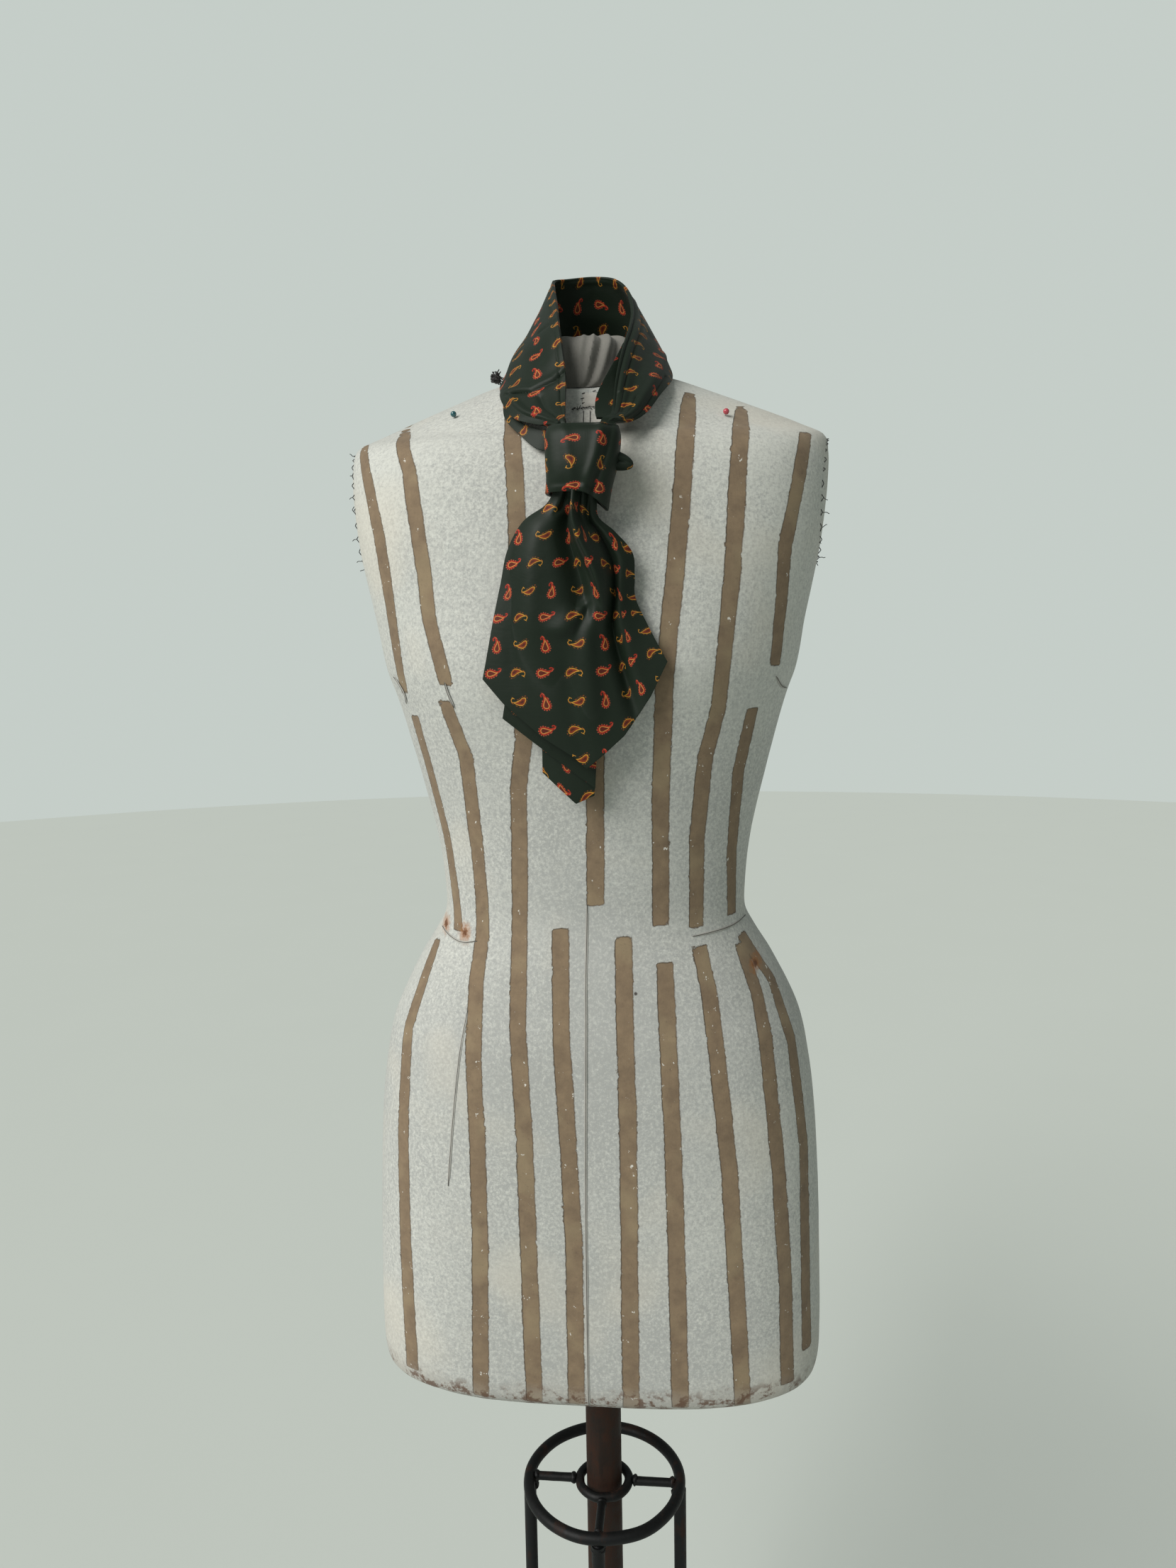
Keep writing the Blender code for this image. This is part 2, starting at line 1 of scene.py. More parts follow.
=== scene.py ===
"""The finished look of a silk cravat on a linen dress form, laid out as a Blender add-on.

Metres, +Z up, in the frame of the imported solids.  The origin is on the floor under the pole,
and the front faces -Y.
"""
import math
import random
from collections import namedtuple

import bpy
import numpy as np
from bpy.props import FloatProperty, FloatVectorProperty, IntProperty, PointerProperty
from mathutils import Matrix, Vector, noise


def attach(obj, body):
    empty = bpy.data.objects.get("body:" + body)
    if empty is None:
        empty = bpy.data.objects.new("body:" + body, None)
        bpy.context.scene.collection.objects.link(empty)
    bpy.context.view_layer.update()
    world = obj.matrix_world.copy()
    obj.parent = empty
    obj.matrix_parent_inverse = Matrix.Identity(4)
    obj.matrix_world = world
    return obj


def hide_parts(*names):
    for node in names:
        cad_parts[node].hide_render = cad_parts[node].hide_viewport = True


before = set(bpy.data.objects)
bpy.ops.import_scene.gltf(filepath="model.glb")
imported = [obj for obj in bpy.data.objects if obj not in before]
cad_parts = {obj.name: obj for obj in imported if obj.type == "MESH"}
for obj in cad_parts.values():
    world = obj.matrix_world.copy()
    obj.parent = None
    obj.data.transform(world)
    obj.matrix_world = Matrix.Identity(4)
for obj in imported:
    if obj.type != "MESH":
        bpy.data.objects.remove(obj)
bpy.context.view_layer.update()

bl_info = {
    "name": "Cravat on a dress form",
    "version": (1, 0, 0),
    "blender": (4, 5, 0),
    "location": "3D View > Sidebar > Cravat",
    "description": "Adds a printed silk cravat, the linen form that wears it and its iron stand",
    "category": "Object",
}

PANEL_PLACE = "Cravat"
MM = 0.001
MICRON = 0.000001

# ---- dress form: its sections from the hem up to the neck ---------------------------------------
Section = namedtuple("Section", "height half_width front back square tilt")
FORM_SECTIONS = [
    Section(0.6340, 0.1660, 0.0900, 0.0920, 3.2, 0.0),
    Section(0.6430, 0.1755, 0.0985, 0.1010, 3.2, 0.0),
    Section(0.6700, 0.1785, 0.1020, 0.1060, 3.1, 0.0),
    Section(0.7400, 0.1780, 0.1050, 0.1120, 2.9, 0.0),
    Section(0.8000, 0.1762, 0.1060, 0.1150, 2.8, 0.0),
    Section(0.8550, 0.1732, 0.1065, 0.1150, 2.7, 0.0),
    Section(0.8900, 0.1690, 0.1060, 0.1130, 2.6, 0.0),
    Section(0.9200, 0.1630, 0.1040, 0.1080, 2.5, 0.0),
    Section(0.9430, 0.1535, 0.1000, 0.1020, 2.4, 0.0),
    Section(0.9690, 0.1400, 0.0950, 0.0940, 2.3, 0.0),
    Section(0.9900, 0.1270, 0.0900, 0.0880, 2.2, 0.0),
    Section(1.0040, 0.1200, 0.0875, 0.0840, 2.2, 0.0),
    Section(1.0210, 0.1193, 0.0870, 0.0825, 2.2, 0.0),
    Section(1.0620, 0.1236, 0.0910, 0.0840, 2.2, 0.0),
    Section(1.1100, 0.1342, 0.0990, 0.0910, 2.25, 0.0),
    Section(1.1570, 0.1462, 0.1070, 0.0980, 2.3, 0.0),
    Section(1.1750, 0.1515, 0.1095, 0.1000, 2.35, 0.0),
    Section(1.1950, 0.1585, 0.1110, 0.1020, 2.4, 0.0),
    Section(1.2300, 0.1645, 0.1105, 0.1050, 2.5, 0.0),
    Section(1.2760, 0.1740, 0.1070, 0.1060, 2.6, 0.0),
    Section(1.3020, 0.1780, 0.1030, 0.1040, 2.6, 0.0),
    Section(1.3300, 0.1810, 0.0980, 0.0990, 2.5, 0.0),
    Section(1.3530, 0.1815, 0.0920, 0.0900, 2.3, 0.06),
    Section(1.3660, 0.1780, 0.0870, 0.0820, 2.0, 0.11),
    Section(1.3740, 0.1620, 0.0820, 0.0750, 1.8, 0.16),
    Section(1.3860, 0.1330, 0.0770, 0.0660, 1.7, 0.22),
    Section(1.3990, 0.0990, 0.0710, 0.0570, 1.75, 0.30),
    Section(1.4080, 0.0740, 0.0670, 0.0520, 1.9, 0.34),
    Section(1.4125, 0.0590, 0.0640, 0.0480, 2.0, 0.345),
]
BUST_OUT = 0.0065
BUST_APART = 0.078
BUST_HEIGHT = 1.192
BUST_WIDE = 0.052
BUST_HIGH = 0.050
CAP_RISES = [               # the neck cap: rise over its seam, size against the seam, tilt
    (0.0004, 0.870, 0.345),
    (0.0040, 0.875, 0.335),
    (0.0110, 0.850, 0.300),
    (0.0190, 0.800, 0.240),
    (0.0245, 0.710, 0.190),
    (0.0280, 0.540, 0.150),
    (0.0297, 0.300, 0.140),
    (0.0302, 0.090, 0.140),
]
# Bare stripes of the linen, each along its middle: x and height in millimetres, from its top.
FRONT_STRIPES = [
    [(-168, 1367), (-155, 1328), (-146, 1292), (-142, 1264), (-134, 1178)],
    [(-140, 1386), (-120, 1335), (-109, 1266), (-106, 1232), (-94, 1184)],
    [(-50, 1400), (-42, 1330), (-40, 1292), (-38, 1200), (-39, 1145), (-45, 1110), (-49, 1003),
     (-49, 937), (-45, 853), (-44, 771), (-43, 641)],
    [(11, 1180), (11, 1133), (8, 1023)],
    [(78, 1393), (74, 1327), (68, 1261), (60, 1184), (56, 1098), (55, 1007)],
    [(116, 1385), (111, 1327), (107, 1261), (99, 1183), (97, 1165), (88, 1131), (82, 1072),
     (81, 1003)],
    [(161, 1360), (154, 1323), (144, 1275), (142, 1239), (138, 1194)],
    [(-127, 1161), (-118, 1118), (-109, 1068), (-101, 996)],
    [(-97, 1173), (-84, 1133), (-82, 1085), (-79, 1024), (-79, 996), (-82, 967), (-83, 912),
     (-81, 850), (-81, 768), (-85, 642)],
    [(122, 1164), (112, 1117), (108, 1056), (108, 1007)],
    [(-121, 985), (-140, 922), (-144, 837), (-144, 753), (-142, 652)],
    [(-18, 1006), (-17, 932), (-13, 854), (-10, 773), (-11, 640)],
    [(28, 1000), (31, 855), (30, 634)],
    [(58, 981), (63, 855), (65, 774), (67, 641)],
    [(83, 990), (90, 957), (95, 917), (104, 826), (110, 716), (114, 636)],
    [(114, 986), (126, 951), (131, 924), (141, 819), (146, 735), (148, 652)],
    [(115, 992), (138, 957), (152, 914), (161, 834), (164, 672)],
]
STRIPE_WIDTH = 0.0125
# Stripes behind: share of the half width, top and foot.
BACK_STRIPES = [
    (0.06, 1.392, 1.010), (0.30, 1.384, 1.000), (0.54, 1.372, 0.998), (0.78, 1.352, 1.006),
    (-0.18, 1.390, 1.004), (-0.42, 1.380, 1.000), (-0.66, 1.362, 1.008), (-0.88, 1.300, 1.012),
    (0.14, 0.992, 0.647), (0.36, 0.984, 0.652), (0.58, 0.990, 0.646), (0.80, 0.984, 0.660),
    (-0.08, 0.996, 0.646), (-0.30, 0.988, 0.650), (-0.52, 0.992, 0.656), (-0.74, 0.984, 0.650),
]
# Stripes beside and behind the arms: distance behind the side's line, top and foot.
FLANK_STRIPES = [
    (0.009, 1.262, 1.010), (0.043, 1.262, 1.006), (0.022, 0.984, 0.654), (0.058, 0.988, 0.648),
]
# Short slanting stripes that come round the left side: height of the middle, and of its rise.
SIDE_STRIPES = [(0.956, 0.014), (0.897, 0.012), (0.822, 0.012), (0.745, 0.012), (0.683, 0.013)]
# Sewn lines of the linen, as x and height along the front in millimetres.
FRONT_SEAMS = {
    "centre": [(2, 1024), (1, 970), (1, 916), (-1, 780), (-2, 637)],
    "waist_left": [(-118, 994), (-108, 991), (-96, 989), (-83, 992)],
    "waist_right": [(119, 1001), (106, 999), (92, 998), (78, 997)],
    "dart_left": [(-88, 944), (-94, 910), (-100, 860), (-105, 811)],
    "bust_left_outer": [(-143, 1190), (-138, 1184), (-134, 1177), (-133, 1170)],
    "bust_left_inner": [(-95, 1186), (-94, 1181), (-92, 1175), (-89, 1168)],
    "bust_right": [(139, 1186), (144, 1179), (149, 1177)],
}
RUST_SPOTS = [(-0.114, 0.997, 0.0055), (-0.094, 0.996, 0.0065), (0.125, 0.971, 0.0055)]
PINS = {
    "pin_left": ("dress_pin_left", "pin_teal", -0.094, 1.379),
    "pin_right": ("dress_pin_right", "pin_red", 0.1033, 1.3725),
}
PIN_HEAD = 0.0022
PIN_CLEAR = 0.0005

# ---- stand -------------------------------------------------------------------------------------
WELD_GAP = 0.0006
POLE_RADIUS = 0.015
SOCKET_RADIUS = 0.022
SOCKET_FLOOR = 0.150
SOCKET_PLATE = 0.006
SOCKET_DEEP = 0.050
TOP_RING_HEIGHT = 0.5015
TOP_RING_RADIUS = 0.0645
TOP_RING_ROD = 0.00475
HUB_RADIUS = 0.021
HUB_ROD = 0.0038
SPOKE_ROD = 0.0035
LEG_ROD = 0.00525
LOW_RING_HEIGHT = 0.175
LOW_RING_RADIUS = TOP_RING_RADIUS - LEG_ROD - TOP_RING_ROD - WELD_GAP
FOOT_RADIUS = 0.018
FOOT_THICK = 0.006
FOOT_NECK = 0.006
FOOT_REACH = 0.205
LEG_COUNT = 4

# ---- cravat ------------------------------------------------------------------------------------
CLOTH = 0.0016
BAND_CLOTH = 0.0024
Station = namedtuple("Station", "top_x top_y top_z low_x low_y low_z bow")
BAND_LEAN = (0.01, 0.02)     # how the band bows: backward and up
BAND_STATIONS = [           # the neck band, from the knot up the left, round and down the right
    Station(-0.0040, -0.1180, 1.3440, -0.0138, -0.1170, 1.3420, 0.0000),
    Station(-0.0045, -0.1160, 1.3570, -0.0124, -0.1140, 1.3550, 0.0005),
    Station(-0.0052, -0.1080, 1.3640, -0.0240, -0.1020, 1.3590, 0.0020),
    Station(-0.0060, -0.0965, 1.3750, -0.0430, -0.0880, 1.3670, 0.0030),
    Station(-0.0068, -0.0850, 1.3940, -0.0545, -0.0660, 1.3830, 0.0040),
    Station(-0.0100, -0.0740, 1.4160, -0.0590, -0.0430, 1.3955, 0.0045),
    Station(-0.0140, -0.0580, 1.4370, -0.0625, -0.0200, 1.4055, 0.0050),
    Station(-0.0190, -0.0260, 1.4610, -0.0630, 0.0060, 1.4165, 0.0045),
    Station(-0.0245, 0.0060, 1.4820, -0.0600, 0.0320, 1.4270, 0.0035),
    Station(-0.0270, 0.0320, 1.4965, -0.0510, 0.0560, 1.4390, 0.0030),
    Station(-0.0180, 0.0460, 1.5020, -0.0320, 0.0720, 1.4460, 0.0025),
    Station(0.0020, 0.0510, 1.5045, 0.0000, 0.0790, 1.4485, 0.0020),
    Station(0.0190, 0.0450, 1.5000, 0.0320, 0.0720, 1.4460, 0.0025),
    Station(0.0300, 0.0300, 1.4860, 0.0520, 0.0560, 1.4390, 0.0030),
    Station(0.0350, 0.0020, 1.4630, 0.0610, 0.0320, 1.4270, 0.0035),
    Station(0.0345, -0.0280, 1.4420, 0.0640, 0.0060, 1.4160, 0.0045),
    Station(0.0310, -0.0550, 1.4200, 0.0645, -0.0200, 1.4050, 0.0050),
    Station(0.0280, -0.0740, 1.3990, 0.0630, -0.0450, 1.3955, 0.0045),
    Station(0.0265, -0.0860, 1.3820, 0.0570, -0.0680, 1.3830, 0.0040),
    Station(0.0258, -0.0970, 1.3690, 0.0480, -0.0880, 1.3670, 0.0030),
    Station(0.0250, -0.1080, 1.3620, 0.0380, -0.1010, 1.3590, 0.0020),
    Station(0.0195, -0.1160, 1.3570, 0.0279, -0.1140, 1.3550, 0.0005),
    Station(0.0185, -0.1180, 1.3440, 0.0290, -0.1170, 1.3420, 0.0000),
]
STRETCH_TRIM = 0.02
UNDER_STATIONS = [
    Station(-0.0510, -0.0588, 1.3832, -0.0560, -0.0535, 1.3857, 0.0),
    Station(-0.0450, -0.0750, 1.3740, -0.0510, -0.0750, 1.3690, 0.0),
    Station(-0.0360, -0.0870, 1.3630, -0.0385, -0.0890, 1.3550, 0.0),
    Station(-0.0230, -0.0960, 1.3570, -0.0260, -0.0970, 1.3440, 0.0),
    Station(-0.0140, -0.0990, 1.3550, -0.0140, -0.0990, 1.3420, 0.0),
]
FOLD_STATIONS = [
    Station(0.0305, -0.0440, 1.4260, 0.0335, -0.0415, 1.4260, 0.0),
    Station(0.0262, -0.0625, 1.4110, 0.0315, -0.0585, 1.4110, 0.0),
    Station(0.0180, -0.0765, 1.3920, 0.0300, -0.0700, 1.3920, 0.0),
    Station(0.0140, -0.0850, 1.3800, 0.0290, -0.0800, 1.3800, 0.0),
    Station(0.0138, -0.0935, 1.3690, 0.0280, -0.0905, 1.3690, 0.0),
    Station(0.0155, -0.1020, 1.3620, 0.0270, -0.1000, 1.3620, 0.0),
]
KnotRow = namedtuple("KnotRow", "height left right front back")
KNOT_ROWS = [
    KnotRow(1.3525, -0.0148, 0.0305, -0.1330, -0.1050),
    KnotRow(1.3450, -0.0160, 0.0318, -0.1375, -0.1040),
    KnotRow(1.3310, -0.0160, 0.0300, -0.1395, -0.1040),
    KnotRow(1.3190, -0.0155, 0.0258, -0.1390, -0.1045),
    KnotRow(1.3095, -0.0165, 0.0228, -0.1360, -0.1060),
]
KNOT_SQUARE = 2.8
KNOT_DIP = 0.011
Row = namedtuple("Row", "left_x left_z right_x right_z middle_y edge_y")
BLADE_ROWS = [
    Row(-0.0090, 1.3250, 0.0175, 1.3230, -0.1366, -0.1335),
    Row(-0.0115, 1.3110, 0.0170, 1.3080, -0.1328, -0.1275),
    Row(-0.0175, 1.3020, 0.0172, 1.2940, -0.1318, -0.1245),
    Row(-0.0330, 1.2920, 0.0280, 1.2840, -0.1330, -0.1215),
    Row(-0.0440, 1.2740, 0.0392, 1.2705, -0.1340, -0.1200),
    Row(-0.0495, 1.2520, 0.0405, 1.2560, -0.1330, -0.1190),
    Row(-0.0550, 1.2290, 0.0410, 1.2410, -0.1310, -0.1190),
    Row(-0.0595, 1.2080, 0.0500, 1.2210, -0.1285, -0.1190),
    Row(-0.0638, 1.1880, 0.0622, 1.1980, -0.1260, -0.1190),
]
BLADE_HEM = [
    (0.000, 0.0000), (0.112, 0.0175), (0.323, 0.0424), (0.496, 0.0583), (0.564, 0.0671),
    (0.660, 0.0580), (0.767, 0.0470), (0.909, 0.0225), (1.000, 0.0000),
]
HEM_POWER = 2.2             # how late the hem's drop comes in, down the blade
TAIL_FRONT_ROWS = [
    Row(-0.0040, 1.3230, 0.0120, 1.3230, -0.1330, -0.1328),
    Row(-0.0050, 1.3020, 0.0145, 1.3000, -0.1238, -0.1218),
    Row(-0.0250, 1.2680, 0.0200, 1.2650, -0.1220, -0.1190),
    Row(-0.0410, 1.2150, 0.0170, 1.2000, -0.1195, -0.1175),
    Row(-0.0513, 1.1610, 0.0120, 1.1120, -0.1185, -0.1165),
]
TAIL_BACK_ROWS = [
    Row(-0.0030, 1.3230, 0.0110, 1.3230, -0.1309, -0.1306),
    Row(-0.0040, 1.3020, 0.0135, 1.3000, -0.1215, -0.1196),
    Row(-0.0150, 1.2680, 0.0190, 1.2650, -0.1192, -0.1168),
    Row(-0.0235, 1.1950, 0.0158, 1.1900, -0.1162, -0.1150),
    Row(-0.0246, 1.1232, 0.0112, 1.1070, -0.1155, -0.1142),
]
TAIL_BACK_HEM = [(0.0, 0.0), (0.64, 0.0115), (1.0, 0.0)]
# Ridges (+) and hollows (-): from and to in shares across and down, the reach of its left and
# right flanks, and its height.
Crease = namedtuple("Crease", "across down to_across to_down left right high")
BLADE_CREASES = [
    Crease(0.470, 0.11, 0.770, 0.61, 0.026, 0.085, 0.0100),
    Crease(0.400, 0.18, 0.650, 0.64, 0.130, 0.060, -0.0100),
    Crease(0.850, 0.28, 0.835, 0.97, 0.034, 0.036, -0.0084),
    Crease(0.925, 0.34, 0.915, 0.84, 0.050, 0.050, 0.0016),
    Crease(0.160, 0.34, 0.250, 0.74, 0.120, 0.110, 0.0036),
    Crease(0.640, 0.60, 0.470, 0.70, 0.100, 0.050, 0.0030),
    Crease(0.700, 0.64, 0.640, 0.92, 0.080, 0.060, 0.0028),
    Crease(0.300, 0.08, 0.260, 0.26, 0.050, 0.070, -0.0030),
    Crease(0.760, 0.10, 0.800, 0.32, 0.040, 0.060, -0.0034),
    Crease(0.620, 0.08, 0.640, 0.24, 0.030, 0.040, -0.0020),
    Crease(0.100, 0.60, 0.170, 0.92, 0.060, 0.090, -0.0014),
    Crease(0.520, 0.74, 0.560, 0.98, 0.090, 0.060, -0.0016),
]
CREASE_FADE = 14
# Where the silk's print lies on the blade, in millimetres: one line for each row of the print,
# with the x of each of its columns and how far the row lifts at the right edge.
PrintRow = namedtuple("PrintRow", "height c0 c1 c2 c3 c4 c5 c6 c7 lift")
BLADE_PRINT = [
    PrintRow(1318.0, -33, -15, 3, 4, 5, 6, 14, 19, -6),
    PrintRow(1300.0, -31, -12.8, -1, 1.5, 3, 7, 20, 23, -7),
    PrintRow(1282.0, -35.6, -18.6, -1.7, 5.5, 8.5, 13, 28.5, 34, -8),
    PrintRow(1265.0, -38.2, -23.6, -6.9, 4.0, 12, 22, 30.0, 36.8, -9),
    PrintRow(1246.0, -43.6, -29.7, -13.9, 3.4, 15.6, 28, 31.0, 37.0, -8),
    PrintRow(1229.5, -49.4, -34.9, -17.0, 1.4, 19.1, 30, 33.0, 40.0, 2),
    PrintRow(1211.0, -53.1, -35.8, -19.4, 2.7, 20.4, 32, 35.0, 46.0, 11),
    PrintRow(1192.5, -55.4, -38.5, -19.5, 0.4, 20.9, 32.7, 38.0, 52.0, 14),
    PrintRow(1172.5, -57.0, -38.6, -20.1, 1.8, 20.4, 35.3, 43.6, 58.0, 17),
    PrintRow(1153.5, -58.0, -39.0, -18.7, 0.9, 20.9, 36.2, 47.0, 62.0, 18),
    PrintRow(1133.5, -58.5, -39.0, -18.0, 3.5, 21.0, 37.0, 50.0, 65.0, 18),
    PrintRow(1113.5, -59.0, -39.0, -18.0, 3.5, 21.0, 38.0, 52.0, 68.0, 18),
]
PRINT_PITCH = 0.0205        # from motif to motif, across and down


# ---- settings ----------------------------------------------------------------------------------
def colour(name, description, default):
    """A colour that the user can change."""
    return FloatVectorProperty(name=name, description=description, default=default, size=3,
                               min=0.0, max=1.0, subtype="COLOR")


def length(name, description, default):
    """A length that the user can change."""
    return FloatProperty(name=name, description=description, default=default, min=0.0,
                         precision=4, unit="LENGTH")


def amount(name, description, default):
    """A plain number that the user can change."""
    return FloatProperty(name=name, description=description, default=default, min=0.0)


class CravatSilk(bpy.types.PropertyGroup):
    """The printed silk of the cravat."""
    ground: colour("Ground", "Green of the silk", (0.0062, 0.0120, 0.0066))
    shade: colour("Ground, worn", "Green where the silk is rubbed", (0.0105, 0.0185, 0.0105))
    red: colour("Red", "Fill of the red paisleys", (0.420, 0.022, 0.010))
    rim: colour("Dots", "Dots round the red paisleys", (0.560, 0.120, 0.060))
    gold: colour("Gold", "Outline of the gold paisleys", (0.560, 0.270, 0.030))
    rust: colour("Rust", "Fill of the gold paisleys", (0.230, 0.036, 0.010))
    pitch: length("Pitch", "From one paisley to the next", PRINT_PITCH)
    weave: length("Weave", "From one weft thread to the next", 0.00062)


class CravatForm(bpy.types.PropertyGroup):
    """The dress form's linen."""
    linen: colour("Linen", "Pasted linen", (0.605, 0.612, 0.568))
    # Grime is also the grey that the painted shade lower down the form mixes towards.
    grime: colour("Grime", "Grey in the linen's weave", (0.285, 0.292, 0.290))
    stripe: colour("Stripe", "Bare brown stripes", (0.285, 0.208, 0.130))
    # Dark line along the stripes' sunken edges: partly their dark outline, partly painted shade where
    # the edge steps down.
    stripe_edge_line_and_shade: colour("Stripe edge", "Dirt along the stripes", (0.075, 0.052, 0.034))
    rust: colour("Rust", "Stains round old pins", (0.330, 0.125, 0.028))
    cap: colour("Cap", "Gathered linen over the neck", (0.230, 0.222, 0.200))
    stripe_width: length("Stripe width", "Width of a bare stripe", STRIPE_WIDTH)
    unevenness: length("Unevenness", "How far the padding sinks in places", 0.0006)


class CravatStand(bpy.types.PropertyGroup):
    """The iron stand."""
    iron: colour("Iron", "Blackened iron", (0.0040, 0.0047, 0.0050))
    pole: colour("Pole", "Rusted pole", (0.0190, 0.0100, 0.0062))
    rust: colour("Rust", "Rust on the iron", (0.0400, 0.0150, 0.0075))
    sides: IntProperty(name="Sides", description="Sides of a rod", default=20, min=8, max=64)


class CravatStage(bpy.types.PropertyGroup):
    """The floor, light and camera."""
    floor: colour("Floor", "Pale floor", (0.640, 0.680, 0.640))
    air: colour("Air", "Light from all round", (0.560, 0.615, 0.580))
    floor_radius: length("Floor", "Radius of the floor", 9.0)
    air_strength: amount("Air", "Share of its light that falls on the pieces", 0.42)
    key_strength: amount("Key light", "Strength of the light from the upper left", 3.25)


SETTINGS = {
    "cravat_silk": CravatSilk,
    "cravat_form": CravatForm,
    "cravat_stand": CravatStand,
    "cravat_stage": CravatStage,
}


def setting(name):
    """A group of settings, such as "silk"."""
    return getattr(bpy.context.scene, f"cravat_{name}")


# ---- smooth tables -----------------------------------------------------------------------------
def share_along(places, at):
    """The interval of a rising list that holds a place, and how far along it lies."""
    low = 0
    while low < len(places) - 2 and at >= places[low + 1]:
        low += 1
    return low, (at - places[low]) / (places[low + 1] - places[low])


def smooth(rows, places, at):
    """Every column of a table at a place between its rows, on cubic curves through them."""
    low, step = share_along(places, at)
    span = places[low + 1] - places[low]

    def slope(index, column):
        before = max(index - 1, 0)
        after = min(index + 1, len(rows) - 1)
        return (rows[after][column] - rows[before][column]) / (places[after] - places[before])

    values = []
    for column in range(len(rows[0])):
        start = rows[low][column]
        rise = rows[low + 1][column] - start
        leave = slope(low, column) * span
        arrive = slope(low + 1, column) * span
        values.append(start + leave * step + (3 * rise - 2 * leave - arrive) * step ** 2
                      + (leave + arrive - 2 * rise) * step ** 3)
    return type(rows[0])(*values) if hasattr(rows[0], "_fields") else tuple(values)


def along_rows(rows, place):
    """A table's values at a place counted in rows."""
    return smooth(rows, list(range(len(rows))), place)


def straight(table, at):
    """The second column of a two-column table at values of its first."""
    return np.interp(at, [row[0] for row in table], [row[1] for row in table])


def bell(value):
    return np.exp(-np.square(value))


def soft_step(value, low, high):
    """0 below low, 1 above high, and a smooth rise between."""
    share = np.clip((value - low) / (high - low), 0.0, 1.0)
    return share * share * (3 - 2 * share)


def arc_lengths(points):
    """How far along a line each of its points lies."""
    steps = np.linalg.norm(np.diff(points, axis=0), axis=1)
    return np.concatenate([[0.0], np.cumsum(steps)])


def resample(points, count):
    """A line's points, spaced evenly along it."""
    points = np.asarray(points, float)
    lengths = arc_lengths(points)
    at = np.linspace(0.0, lengths[-1], count)
    return np.stack([np.interp(at, lengths, points[:, axis]) for axis in range(3)], axis=1)


def curve_through(points, count):
    """A smooth line through a few points."""
    rows = [tuple(point) for point in points]
    fine = [along_rows(rows, place) for place in np.linspace(0, len(rows) - 1, 16 * len(rows))]
    return resample(fine, count)


